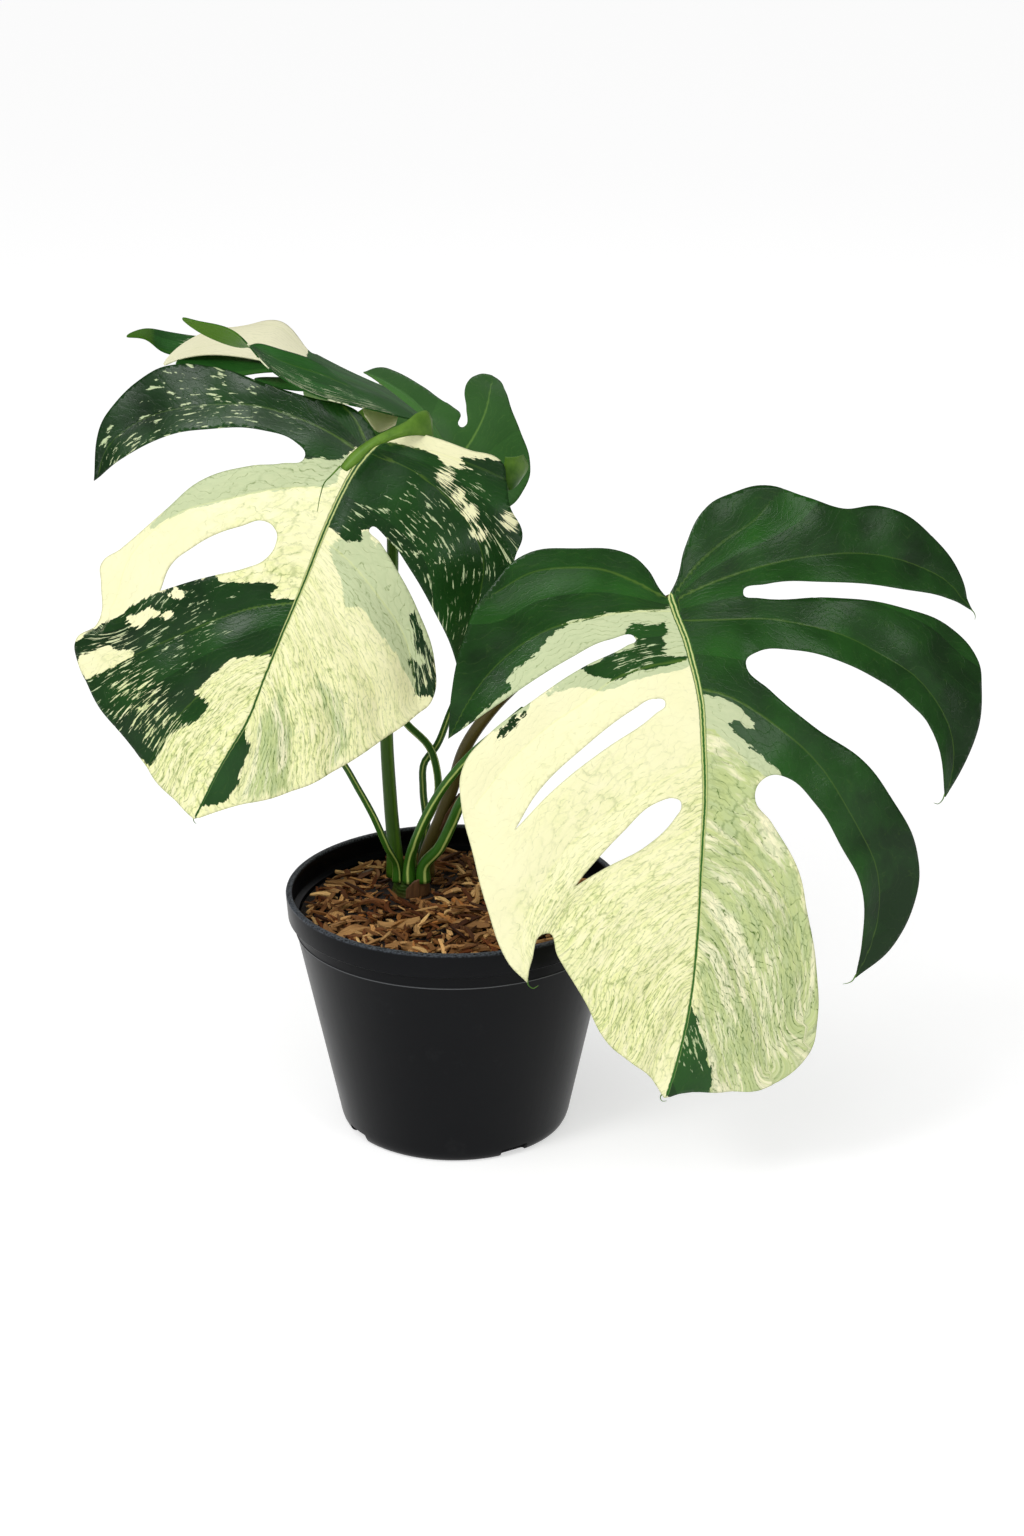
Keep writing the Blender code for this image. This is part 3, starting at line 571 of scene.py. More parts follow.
stem_green, nodes = finish_of("stem_green", 0.5, 0.2)
here = nodes.here()
x, y, z = nodes.parts(here)
blotch = nodes.noise(here, 180.0, 5.0, 0.65)
rings = nodes.math("SINE", z * 2400.0 + blotch * 5.0)
level = nodes.ramp(blotch * 0.7 + nodes.ramp(z, SOIL_TOP_Z - 0.002, STEM_TOP_Z), 0.25, 0.75)
brown = nodes.blend(blotch, tone(44, 30, 18), tone(96, 66, 36))
green = nodes.blend(blotch, tone(16, 38, 8), tone(66, 94, 28))
nodes.surface(
    Base_Color=nodes.blend(level, brown, green), Normal=nodes.bump(rings * 0.2 + blotch, 0.8, 0.0008)
)

bm = bmesh.new()
bmesh.ops.create_cone(bm, cap_ends=True, segments=40, radius1=0.0124, radius2=0.0098, depth=STEM_HEIGHT)
upright = [edge for edge in bm.edges if abs(edge.verts[0].co.z - edge.verts[1].co.z) > 0.01]
bmesh.ops.subdivide_edges(bm, edges=upright, cuts=9, use_grid_fill=True)
crown = [face for face in bm.faces if face.normal.z > 0.9]
for depth in (0.0022, 0.0026, 0.0026):
    bmesh.ops.inset_region(bm, faces=crown, thickness=depth, depth=0.0007)
for vert in bm.verts:
    turn = math.atan2(vert.co.y, vert.co.x)
    swell = 0.0009 * math.sin(3 * turn + vert.co.z * 180) + 0.0005 * math.sin(7 * turn - vert.co.z * 420)
    swell += 0.0005 * math.sin(vert.co.z * 1500)
    reach = math.hypot(vert.co.x, vert.co.y)
    if reach > 0.0005:
        vert.co.x *= 1 + swell / max(reach, 0.004)
        vert.co.y *= 1 + swell / max(reach, 0.004)
bm.transform(Matrix.Translation((*STEM_PLACE, STEM_TOP_Z - STEM_HEIGHT / 2 - 0.0005)))


def round_off(piece, levels):
    subdivision = piece.modifiers.new("rounding", "SUBSURF")
    subdivision.levels = levels
    subdivision.render_levels = levels


round_off(add_piece("rootstock", mesh_from(bm, "rootstock"), [stem_green], ["stem"]), 1)

# ---------------------------------------------------------------------------------------------
# Leaf stalks: seven of them, smooth and round, rising from the rootstock. Two are plain olive
# green; the others are striped dark green and pale yellow-green from foot to head.
# ---------------------------------------------------------------------------------------------

BLADE_THICKNESS = 0.0012
BLADE_JOIN_GAP = 0.0009


class Blade:
    """How one flat leaf outline is hung in space.

    A place on the leaf is (across, along) in metres from the top of its stalk: along runs down the
    midrib to the tip, and across runs to its right as seen from the showy side.
    """

    def __init__(self, base, turn, tilt, swing, bend, fold, droop, bow, length):
        spin = Matrix.Rotation(math.radians(turn), 3, "Z")
        lean = Matrix.Rotation(math.radians(-tilt), 3, "X")
        sway = Matrix.Rotation(math.radians(swing), 3, "Y")
        hung = spin @ lean @ sway
        self.base = Vector(base)
        self.across = hung @ Vector((1, 0, 0))
        self.face = hung @ Vector((0, -1, 0))
        self.along = hung @ Vector((0, 0, -1))
        self.bend_base, self.bend_tip = (math.radians(value) * 10 for value in bend)
        self.fold = [math.radians(value) for value in fold]
        self.droop = [math.radians(value) * 10 for value in droop]
        self.bow = bow * MM
        self.length = length

    def point(self, across, along, lift=0.0):
        rate = self.bend_tip if along >= 0 else self.bend_base
        run = math.sin(rate * along) / rate
        drop = (1 - math.cos(rate * along)) / rate
        normal = self.face * math.cos(rate * along) + self.along * math.sin(rate * along)
        part = min(max(along / self.length, 0), 1)
        half = 1 if across >= 0 else 0
        side = 1 if across >= 0 else -1
        fold = self.fold[half]
        droop = self.droop[half]
        angle = fold + droop * abs(across)
        out = (math.sin(angle) - math.sin(fold)) / droop
        back = (math.cos(fold) - math.cos(angle)) / droop
        place = self.base + self.along * run - self.face * drop
        place += self.across * (side * out + self.bow * 4 * part * (1 - part)) - normal * back
        return place + (normal * math.cos(angle) + self.across * side * math.sin(angle)) * lift


def soil_point(x, y, z):
    """A place in millimetres, whose height is measured from the top of the potting mix."""
    return Vector((x * MM, y * MM, z * MM + SOIL_TOP_Z))


right = Blade(soil_point(128, -80, 226), 6, 22, 0.5, (-8, 9), (3, 5), (7, 10), 18, 0.303)
left = Blade(soil_point(-46, 20, 290), -4, 25, 25.5, (-4, 9), (4, 5), (7, 14), 8, 0.255)
back = Blade(soil_point(2, 104, 246), 8, 42, 178, (-1, 30), (5, 5), (15, 15), 0, 0.150)


def stalk_finish(name, dark, middle, stripe, stripe_places, stripe_width):
    """A satin stalk: its green darkens in fine lengthwise streaks, and pale stripes run along it."""
    made, nodes = finish_of(name, 0.38, 0.22)
    run, turn, _ = nodes.parts(nodes.attribute("UVMap"))
    here = nodes.here()
    round_it = turn + (nodes.noise(here, 38.0) * 0.12 - 0.06)
    streak = nodes.noise(nodes.place(turn * 46.0, run * 7.0), 1.0, 4.0)
    cloud = nodes.noise(here, 60.0, 4.0)
    colour = nodes.blend(streak, dark, middle)
    colour = nodes.blend(cloud * 0.45, colour, middle)
    for place in stripe_places:
        away = abs(nodes.math("WRAP", round_it - place, 0.5, -0.5))
        inside = 1.0 - nodes.ramp(streak * 0.05 + away, stripe_width, stripe_width + 0.035)
        colour = nodes.blend(inside, colour, stripe)
    nodes.surface(Base_Color=colour, Roughness=cloud * 0.2 + 0.27, Normal=nodes.bump(streak, 0.35))
    return made


plain_stalk = stalk_finish(
    "olive_stalk", tone(30, 62, 6), tone(66, 104, 22), tone(82, 118, 34), (0.2, 0.7), 0.05
)
brown_stalk = stalk_finish("bronze_stalk", tone(48, 50, 18), tone(88, 76, 34), tone(92, 98, 40), (0.3,), 0.06)
striped_stalk = stalk_finish(
    "striped_stalk", tone(20, 58, 8), tone(56, 106, 26), tone(176, 194, 108), (0.05, 0.38, 0.72), 0.035
)


def blade_head(blade, radius):
    """The last two places of a stalk that meets the back of its blade squarely."""
    gap = BLADE_THICKNESS / 2 + BLADE_JOIN_GAP + radius * 0.16
    return [blade.base - blade.face * (gap + 0.011), blade.base - blade.face * (gap * 0.4)]


# Each stalk's foot on the stem, its radii at foot and head, and the places that it passes
STALKS = [
    ("right_petiole", brown_stalk, (-18, 22), (4.4, 3.2), blade_head(right, 0.0032),
     [(-8, 18, 52), (-1, 16, 72), (7, 10, 100), (21, 0, 126), (53, -22, 166), (88, -44, 197)]),
    ("left_petiole", plain_stalk, (-37.5, 22), (4.6, 3.2), blade_head(left, 0.0032),
     [(-40, 25, 60), (-42, 30, 103), (-40, 36, 162), (-37, 40, 216), (-39, 42, 257), (-43, 38, 276)]),
    ("top_petiole", striped_stalk, (-27, 30.5), (2.6, 2.0), [],
     [(-10, 34, 67), (-15, 42, 88), (-32, 54, 103), (-47, 66, 139), (-57, 80, 200), (-51, 84, 251),
      (-30, 74, 280), (-22, 64, 294)]),
    ("back_petiole", striped_stalk, (-20.5, 32), (2.5, 1.9), blade_head(back, 0.0019),
     [(-18, 41, 35), (-20, 45, 60), (-19, 48, 77), (-12, 50, 86), (-3, 55, 107), (15, 70, 146),
      (27, 90, 182), (26, 112, 212), (13, 121, 232)]),
    ("left_side_petiole", striped_stalk, (-36, 12.5), (2.5, 1.8), [],
     [(-42, 4, 38), (-50, 0, 60), (-59, -4, 80), (-67, -8, 97), (-78, -9, 112), (-88, -9, 124)]),
    ("front_petiole", striped_stalk, (-28.5, 11.5), (3.4, 2.3), [],
     [(-21, 2, 49), (-10, -2, 73), (0, -8, 90), (11, -14, 105), (29, -26, 126), (43, -35, 142)]),
    ("right_side_petiole", striped_stalk, (-19.5, 12.5), (3.9, 2.9), [],
     [(-9, 8, 35), (0, 4, 56), (4, 0, 67), (20, -8, 90), (38, -18, 116), (53, -24, 135)]),
]
STALK_STEPS = 72

for node, finish, foot, (foot_radius, head_radius), head, route in STALKS:
    start = Vector((foot[0] * MM, foot[1] * MM, STEM_TOP_Z + FOOT_GAP - 0.004))
    above = [soil_point(*place) for place in route]
    points = smooth_path([start, start + Vector((0, 0, FOOT_RISE + 0.004)), *above, *head], STALK_STEPS)
    radii = []
    for i in range(STALK_STEPS + 1):
        share = i / STALK_STEPS
        flare = 1 + 0.28 * math.exp(-((share / 0.06) ** 2))
        flare += 0.10 * math.exp(-(((share - 0.96) / 0.035) ** 2)) if head else 0
        radii.append((foot_radius + (head_radius - foot_radius) * share) * MM * flare)
    add_piece(node + "_stalk", stalk_mesh(node, points, radii, 6), [finish], [node])

# ---------------------------------------------------------------------------------------------
# Sheath and cataphyll: the papery brown leftovers of bud scales. One clasps the rootstock and the
# other the foot of the right stalk, thin and cracked along the grain.
# ---------------------------------------------------------------------------------------------

papery, nodes = finish_of("papery_scale", 0.6)
x, y, z = nodes.parts(nodes.here())
grain = nodes.noise(nodes.place(x * 900.0, y * 900.0, z * 90.0), 1.0, 4.0)
nodes.surface(
    Base_Color=nodes.blend(grain, tone(54, 30, 16), tone(112, 76, 38)), Normal=nodes.bump(grain, 0.8, 0.0006)
)


def give_wall(piece, thickness, back=0, rim=0):
    """Thickens a sheet evenly to both sides. Its back and its rim may take other finishes."""
    wall = piece.modifiers.new("wall", "SOLIDIFY")
    wall.thickness = thickness
    wall.offset = 0
    wall.material_offset = back
    wall.material_offset_rim = rim


def clasping_scale(name, radius, height, start, end, thickness, place, node):
    """A thin scale bent round a stalk: a strip spun round its axis, pointed at its top."""
    strip = [(radius, height * row / 10) for row in range(11)]
    bm = spun(strip, 22, math.radians(start), math.radians(end - start))
    middle = (start + end) / 2
    for vert in bm.verts:
        angle = math.degrees(math.atan2(vert.co.y, vert.co.x))
        away = min(abs((angle - middle + 180) % 360 - 180) / (abs(end - start) / 2), 1)
        share = vert.co.z / height
        vert.co.z *= 1 - 0.55 * away**2
        vert.co.z += 0.0004 * math.sin(angle * 0.9) * share
        flare = 1 + 0.03 * share * math.sin(angle * 0.35)
        vert.co.x *= flare
        vert.co.y *= flare
    bm.transform(place)
    give_wall(add_piece(name, mesh_from(bm, name), [papery], [node]), thickness)


clasping_scale(
    "rootstock_scale", 0.0137, 0.013, -100, -25, 0.0006,
    Matrix.Translation((*STEM_PLACE, SOIL_TOP_Z + 0.0005)), "stem_sheath",
)
wrap_start = soil_point(-9.5, 18.4, 48)
wrap_way = soil_point(-2.5, 16.4, 68) - wrap_start
wrap_turn = wrap_way.to_track_quat("Z", "Y").to_matrix().to_4x4()
wrap_place = Matrix.Translation(wrap_start - wrap_way.normalized() * 0.0025) @ wrap_turn
clasping_scale("stalk_scale", 0.0058, 0.026, -150, -10, 0.0005, wrap_place, "cataphyll")

# ---------------------------------------------------------------------------------------------
# Leaf blades: thick, leathery and glossy, cut into lobes that reach almost to the midrib. The
# variegation follows the side veins in sectors, from dark green through grey-green to plain cream.
# ---------------------------------------------------------------------------------------------

BLADE_GRID = 2.5
FREE_SPACING = 30.0
LEAF_WALL = 0.0009
LEAF_LAYERS = {
    "Place": "leaf_place", "Right Vein": "right_vein", "Left Vein": "left_vein", "Right Zones": "right_zones",
    "Left Zones": "left_zones", "Marks": "leaf_marks", "Tints": "leaf_tints",
}
LEAF_COLOURS = ("Deep", "Fresh", "Cream", "Butter", "Grey", "Moss", "Rib")


def leaf_sheet(loops):
    """The outline and its holes as one flat sheet, cut along a fine grid so that it bends smoothly."""
    curve = bpy.data.curves.new("outline", "CURVE")
    curve.dimensions = "2D"
    curve.fill_mode = "FRONT"
    curve.resolution_u = 8
    for loop in loops:
        spline = curve.splines.new("BEZIER")
        spline.bezier_points.add(len(loop) - 1)
        spline.use_cyclic_u = True
        for target, place in zip(spline.bezier_points, loop):
            target.co = (place[0], place[1], 0)
            kind = "VECTOR" if len(place) > 2 else "AUTO"
            target.handle_left_type = kind
            target.handle_right_type = kind
    bm = bmesh.new()
    bm.from_mesh(mesh_of(put_in_scene("outline", curve)))
    bmesh.ops.remove_doubles(bm, verts=bm.verts, dist=0.01)
    bmesh.ops.dissolve_limit(bm, angle_limit=0.01, verts=[], edges=bm.edges)
    for axis, normal in enumerate((Vector((1, 0, 0)), Vector((0, 1, 0)))):
        values = [vert.co[axis] for vert in bm.verts]
        line = math.floor(min(values) / BLADE_GRID) + 1
        while line * BLADE_GRID < max(values):
            everything = list(bm.verts) + list(bm.edges) + list(bm.faces)
            bmesh.ops.bisect_plane(bm, geom=everything, plane_co=normal * line * BLADE_GRID, plane_no=normal)
            line += 1
    bmesh.ops.remove_doubles(bm, verts=bm.verts, dist=0.15)
    bmesh.ops.triangulate(bm, faces=bm.faces)
    return bm


def inside_distance(spots, corners):
    """How far each spot lies inside this outline, and less than nothing outside it."""
    best = np.full(len(spots), 1e9)
    inside = np.zeros(len(spots), bool)
    ends = corners[1:] + corners[:1]
    for start, end in zip(np.array(corners, float), np.array(ends, float)):
        edge = end - start
        share = np.clip((spots - start) @ edge / max(edge @ edge, 1e-9), 0, 1)
        best = np.minimum(best, np.linalg.norm(spots - start - share[:, None] * edge, axis=1))
        if start[1] != end[1]:
            between = (start[1] > spots[:, 1]) != (end[1] > spots[:, 1])
            crossing = start[0] + (spots[:, 1] - start[1]) / edge[1] * edge[0]
            inside ^= between & (spots[:, 0] < crossing)
    return np.where(inside, best, -best)


def zone_distance(spots, outlines):
    """The same, for several outlines together."""
    if not outlines:
        return np.full(len(spots), -60.0)
    return np.max([inside_distance(spots, outline) for outline in outlines], axis=0)


def past_midrib(outlines, midrib, way):
    """The outlines on one half of the leaf, with the corners on the midrib moved well past it."""
    through = np.array(midrib, float)
    made = []
    for outline in outlines:
        offsets = [across - np.interp(along, through[:, 1], through[:, 0]) for across, along in outline]
        if sum(offsets) * way > 0:
            made.append([
                (across - 9 * way if abs(offset) < 5.5 else across, along)
                for (across, along), offset in zip(outline, offsets)
            ])
    return made


def beside_line(spots, line):
    """Each spot's distance from a line, the side of it (1 on its left), and how far along it."""
    through = smooth_path([Vector((*place, 0)) for place in line], 24)
    best = np.full(len(spots), 1e9)
    side = np.ones(len(spots))
    run = np.zeros(len(spots))
    passed = 0.0
    for before, after in zip(through, through[1:]):
        start = np.array(before[:2])
        edge = np.array(after[:2]) - start
        length = float(np.linalg.norm(edge))
        share = np.clip((spots - start) @ edge / length**2, 0, 1)
        away = spots - start - share[:, None] * edge
        distance = np.linalg.norm(away, axis=1)
        nearer = distance < best
        best = np.where(nearer, distance, best)
        side = np.where(nearer, np.sign(edge[0] * away[:, 1] - edge[1] * away[:, 0]), side)
        run = np.where(nearer, passed + share * length, run)
        passed += length
    return best, side, run


def between_veins(spots, veins, turn):
    """A count that is whole on each side vein and runs evenly between them, with the distance
    along the veins and the gap between them there."""
    found = [beside_line(spots, vein) for vein in veins]
    distance = np.array([item[0] for item in found])
    side = np.array([item[1] for item in found]) * turn
    run = np.array([item[2] for item in found])
    spot = np.arange(len(spots))
    nearest = distance.argmin(axis=0)
    near = distance[nearest, spot]
    way = np.where(side[nearest, spot] >= 0, 1, -1)
    other = nearest + way
    known = (other >= 0) & (other < len(veins))
    other = np.clip(other, 0, len(veins) - 1)
    far = np.where(known, distance[other, spot], FREE_SPACING)
    share = near / (near + far + 1e-6)
    along = run[nearest, spot] * (1 - share) + np.where(known, run[other, spot], run[nearest, spot]) * share
    return nearest + way * share, along, near + far


def blob_field(spots, blobs):
    """Soft round patches, each (across, along, radius, strength)."""
    total = np.zeros(len(spots))
    for across, along, radius, strength in blobs:
        reach = np.hypot(spots[:, 0] - across, spots[:, 1] - along)
        total = np.maximum(total, strength * np.clip(1.4 * (1 - reach / radius), 0, 1))
    return total


def leaf_shader_group():
    """Leaf colour by zone: streaked edges between zones, flecks, side veins, fine veins, midrib."""
    group = bpy.data.node_groups.new("leaf_variegation", "ShaderNodeTree")
    for names, way, kind in (
        (LEAF_LAYERS, "INPUT", "Vector"), (LEAF_COLOURS, "INPUT", "Color"),
        (("Color",), "OUTPUT", "Color"), (("Dark", "Height"), "OUTPUT", "Float"),
    ):
        for name in names:
            group.interface.new_socket(name, in_out=way, socket_type="NodeSocket" + kind)
    nodes = Nodes(group)
    given = nodes.add("NodeGroupInput").outputs
    result = nodes.add("NodeGroupOutput").inputs
    deep, fresh, cream, butter, grey_tone, moss_tone, rib_tone = (given[name] for name in LEAF_COLOURS)
    across, along, seed = nodes.parts(given["Place"])
    fleck, rib, mottle = nodes.parts(given["Marks"])
    lime, margin, rib_width = nodes.parts(given["Tints"])
    half = nodes.math("GREATER_THAN", rib, 0.0)
    count, run, gap = nodes.parts(nodes.blend(half, given["Left Vein"], given["Right Vein"]))
    dark, grey, moss = nodes.parts(nodes.blend(half, given["Left Zones"], given["Right Zones"]))

    def streaks(fineness, length, detail, layer):
        return nodes.noise(nodes.place(count * fineness, run * length, seed + layer), 1.0, detail, 0.62)

    broad = streaks(4.0, 0.015, 4.0, 0.0)
    streak = streaks(9.0, 0.075, 4.0, 11.0)
    fine = streaks(34.0, 0.11, 3.0, 23.0)
    spot = nodes.place(across, along, seed)
    crisp = nodes.noise(spot, 0.42, 3.0, 0.6)
    cloud = nodes.noise(spot, 0.035, 3.0, 0.5)

    def ragged(distance, reach):
        return distance + (streak * reach + fine * (0.55 * reach) - 0.775 * reach)

    # Side veins, then the fine ones between them, then the net that joins those
    whole = nodes.math("ROUND", count)
    off_vein = abs(count - whole) * gap
    vein_width = nodes.math("MAXIMUM", run * -0.0065 + 1.25, 0.5)
    side_vein = (1.0 - nodes.ramp(off_vein, 0.1, vein_width)) * nodes.ramp(abs(count), 0.0, 0.01)
    bent = crisp * 0.035 + ((cloud - 0.5) * 0.9 + count)
    off_fine = abs(nodes.math("FRACT", bent * 9.0) - 0.5) * gap * (1 / 9)
    fine_vein = 1.0 - nodes.ramp(off_fine, 0.10, 0.50)
    broken = nodes.ramp(fine + crisp * 0.6, 0.72, 0.92)
    cells = nodes.add("ShaderNodeTexVoronoi", feature="DISTANCE_TO_EDGE", voronoi_dimensions="2D")
    nodes.put(cells.inputs["Vector"], nodes.place(crisp * 0.8 + count * 12.0, fine * 0.4 + run * 0.085))
    nodes.put(cells.inputs["Scale"], 1.0)
    net = 1.0 - nodes.ramp(cells.outputs["Distance"], 0.02, 0.12)

    # The light ground: cream, butter yellow where mottled, then the grey-green and moss zones
    mottled = nodes.ramp(fine * 0.5 + streak * 0.7, 0.46, 0.72)
    speckle = nodes.ramp(crisp * 0.5 + streak * 0.6, 0.55, 0.70)
    mossy = nodes.ramp(ragged(moss, 16.0), -1.0, 3.0)
    greyed = nodes.ramp(ragged(grey, 6.0), -0.35, 0.35)
    moss_ground = nodes.blend(nodes.ramp(broad * 0.85 + fine * 0.25, 0.54, 0.62), moss_tone, cream)
    moss_ground = nodes.blend(nodes.ramp(streak, 0.42, 0.66) * 0.55, moss_ground, grey_tone)
    moss_ground = nodes.blend(nodes.ramp(fine, 0.5, 0.72) * 0.30, moss_ground, rib_tone)
    fine_strength = nodes.math("ADD", mossy, greyed, clamp=True) * 0.34 + (mottle * 0.62 + 0.12)
    net_strength = net * (mottle * 0.48 + 0.04) * nodes.ramp(streak, 0.36, 0.58)
    outer_edge = 1.0 - nodes.ramp(margin, 0.2, 0.9)
    ground = cream
    for amount, laid in (
        (cloud * 0.35, butter), (mottle * (mottled * 0.9), butter), (speckle * (mottle * 0.75), moss_tone),
        (mossy, moss_ground), (greyed, nodes.blend(fine * 0.35, grey_tone, cream)),
        (fine_vein * broken * fine_strength, rib_tone), (net_strength, rib_tone),
        (side_vein * 0.30, butter), (outer_edge * 0.25, rib_tone),
    ):
        ground = nodes.blend(amount, ground, laid)

    # Dark green over it, ragged along the veins, with pale flecks where the leaf has them, and a painted
    # sheen that lightens one side of each side vein
    flecks = streaks(38.0, 0.085, 3.0, 47.0) * 0.72 + streak * 0.28
    flecked = nodes.ramp(flecks - (fleck * -0.235 + 0.80), -0.008, 0.024) * nodes.ramp(fleck, 0.02, 0.15)
    fleck_tone = nodes.blend(nodes.ramp(fleck, 0.95, 1.2), grey_tone, ground)
    sector = nodes.ramp(ragged(dark, 9.0), -0.18, 0.18)
    # depth: a painted sheen, lighter on one side of each side vein, plus random tone from the streaks and
    # clouds; the next line darkens it toward the tips
    depth = nodes.ramp(count - whole, -0.15, 0.30) * 0.20 + ((streak - 0.5) * 0.25 + cloud * 0.7)
    depth = nodes.ramp(run, 60.0, 190.0) * -0.20 + depth
    vein_strength = nodes.ramp(run, 0.0, 80.0) * -0.38 + 0.72
    green = nodes.blend(nodes.ramp(depth, 0.12, 0.95), deep, fresh)
    green = nodes.blend(side_vein * vein_strength, green, rib_tone)
    green = nodes.blend(fine_vein * 0.10 * broken, green, rib_tone)
    colour = nodes.blend(sector, ground, nodes.blend(flecked, green, fleck_tone))
    colour = nodes.blend(nodes.ramp(lime, 0.35, 0.65), colour, rib_tone)

    # Midrib: a pale band with a green line down it, or two where it is wide
    off_rib = abs((crisp - 0.5) * 0.9 + rib)
    band = 1.0 - nodes.ramp(off_rib - rib_width, -0.25, 0.15)
    middle = 1.0 - nodes.ramp(off_rib, 0.40, 0.85)
    edge = (1.0 - nodes.ramp(abs(off_rib - rib_width), 0.15, 0.5)) * nodes.ramp(rib_width, 1.1, 1.9)
    colour = nodes.blend(band, colour, nodes.blend(0.32, butter, rib_tone))
    colour = nodes.blend(nodes.math("MAXIMUM", middle, edge), colour, fresh)

    groove = 1.0 - nodes.ramp(off_vein, 0.1, 1.6)
    nodes.put(result["Color"], colour)
    nodes.put(result["Dark"], sector * (1.0 - flecked))
    nodes.put(result["Height"], crisp * 0.35 - groove * 0.5 - fine_vein * 0.18 - band * 0.9 - net * 0.12)
    return group


leaf_group = leaf_shader_group()


def leaf_finish(name, colours, rough, bump=0.6, specular=0.22):
    """One face of a leaf: its zone colours, with a gloss that is softer on the pale ground."""
    made, nodes = finish_of(name, rough, specular)
    pattern = nodes.add("ShaderNodeGroup", node_tree=leaf_group)
    for socket, attribute in LEAF_LAYERS.items():
        nodes.put(pattern.inputs[socket], nodes.attribute(attribute))
    for socket, colour in zip(LEAF_COLOURS, colours):
        nodes.put(pattern.inputs[socket], tone(*colour))
    gloss = Value(nodes, pattern.outputs["Dark"]) * -0.06 + rough
    nodes.surface(
        Base_Color=pattern.outputs["Color"], Roughness=nodes.noise(nodes.here(), 40.0) * 0.10 + gloss,
        Normal=nodes.bump(pattern.outputs["Height"], bump),
    )
    return made


face_colours = (
    (12, 41, 7), (40, 96, 27), (243, 239, 199), (226, 230, 154), (180, 195, 150), (190, 202, 138),
    (82, 112, 38),
)
under_colours = (
    (74, 106, 52), (104, 136, 72), (240, 236, 196), (226, 226, 164), (186, 196, 158), (192, 202, 150),
    (128, 158, 72),
)
leaf_face = leaf_finish("leaf_face", face_colours, 0.31)
shaded_face = leaf_finish("shaded_leaf_face", ((9, 36, 8), (32, 80, 24), *face_colours[2:]), 0.31)
leaf_under = leaf_finish("leaf_under", under_colours, 0.55)


MIDRIB_RADII = (1.9, 0.5)
SIDE_RIB_RADII = (0.85, 0.22)
RIB_STEPS = 32

rib_green, nodes = finish_of("rib_green")
shade = nodes.noise(nodes.here(), 120.0)
nodes.surface(
    Base_Color=nodes.blend(shade, tone(150, 168, 84), tone(196, 204, 128)), Normal=nodes.bump(shade, 0.3)
)


def waves(across, along, run, seed):
    """How far the leaf's slow waves lift a spot, in millimetres. They fade out toward the midrib."""
    return 1.1 * np.sin(across * 0.11 + seed) * np.sin(along * 0.083 + 2 * seed) * np.clip(run / 30, 0, 1)


def add_ribs(name, blade, plan, seed):
    """The raised midrib and side ribs on the leaf's back, sunk a little into the blade."""
    bm = bmesh.new()
    lines = [(plan["midrib"], *MIDRIB_RADII)]
    lines += [(vein, *SIDE_RIB_RADII) for vein in plan["right_veins"] + plan["left_veins"]]
    for line, thick, thin in lines:
        through = smooth_path([Vector((*place, 0)) for place in line], RIB_STEPS)
        length = sum((after - before).length for before, after in zip(through, through[1:]))
        through = through[:-3]
        route = []
        radii = []
        for i, place in enumerate(through):
            radius = (thick + (thin - thick) * i / (len(through) - 1)) * MM
            run = 0 if line is plan["midrib"] else length * i / RIB_STEPS
            rise = float(waves(place.x, place.y, run, seed) * MM)
            route.append(blade.point(place.x * MM, place.y * MM, rise - LEAF_WALL / 2 - radius * 0.6))
            radii.append(radius)
        bm.from_mesh(stalk_mesh("rib", route, radii, 1))
    add_piece(name, mesh_from(bm, name), [rib_green])


def add_blade(node, blade, loops, plan, seed, finishes):
    """Bends the flat sheet into its place and writes on it where each zone and vein runs."""
    bm = leaf_sheet(loops)
    spots = np.array([vert.co[:2] for vert in bm.verts], float)
    brink = np.array([vert.co[:2] for vert in bm.verts if vert.is_boundary], float)
    margin = np.array([np.hypot(*(brink - spot).T).min() for spot in spots])
    rib, side, rib_run = beside_line(spots, plan["midrib"])
    right_vein = between_veins(spots, plan["right_veins"], 1)
    left_vein = between_veins(spots, plan["left_veins"], -1)
    on_right = side < 0
    count, run, gap = np.where(on_right, right_vein, left_vein)
    off_vein = np.abs(count - np.round(count)) * gap
    channel = 1.5 * np.tanh(off_vein / 9) + 1.2 * np.sin(np.pi * count) ** 2
    swell = channel * np.clip(run / 30, 0, 1) + waves(spots[:, 0], spots[:, 1], run, seed)
    for vert, lift in zip(bm.verts, swell):
        vert.co = blade.point(vert.co.x * MM, vert.co.y * MM, float(lift) * MM)
    mesh = mesh_from(bm, node)
    blobs = {kind: blob_field(spots, plan.get(kind, [])) for kind in ("flecks", "mottle", "lime")}
    width = plan["rib_width"] * np.clip(1 - 0.72 * rib_run / (blade.length * 1000), 0.25, 1)
    marks = {
        "leaf_place": (spots[:, 0], spots[:, 1], np.full(len(spots), seed * 40)),
        "right_vein": right_vein,
        "left_vein": (left_vein[0] + 20, *left_vein[1:]),
        "leaf_marks": (blobs["flecks"], np.where(on_right, rib, -rib), blobs["mottle"]),
        "leaf_tints": (blobs["lime"], margin, width),
    }
    for name, way in (("right_zones", 1), ("left_zones", -1)):
        dark, splash, grey, moss = (
            zone_distance(spots, past_midrib(plan.get(kind, []), plan["midrib"], way))
            for kind in ("dark", "splash", "grey", "moss")
        )
        marks[name] = (np.minimum(dark, -splash), grey + 6 * np.clip(1 - np.abs(dark) / 8, 0, 1), moss)
    for name, columns in marks.items():
        layer = mesh.attributes.new(name, "FLOAT_VECTOR", "POINT")
        layer.data.foreach_set("vector", np.stack(columns, axis=1).astype(np.float32).ravel())
    give_wall(add_piece(node + "_leaf", mesh, finishes, [node]), LEAF_WALL, 1, 1)
    add_ribs(node + "_ribs", blade, plan, seed)


# Outlines, across and along the leaf from the top of its stalk. A place with a third value is a sharp
# point.

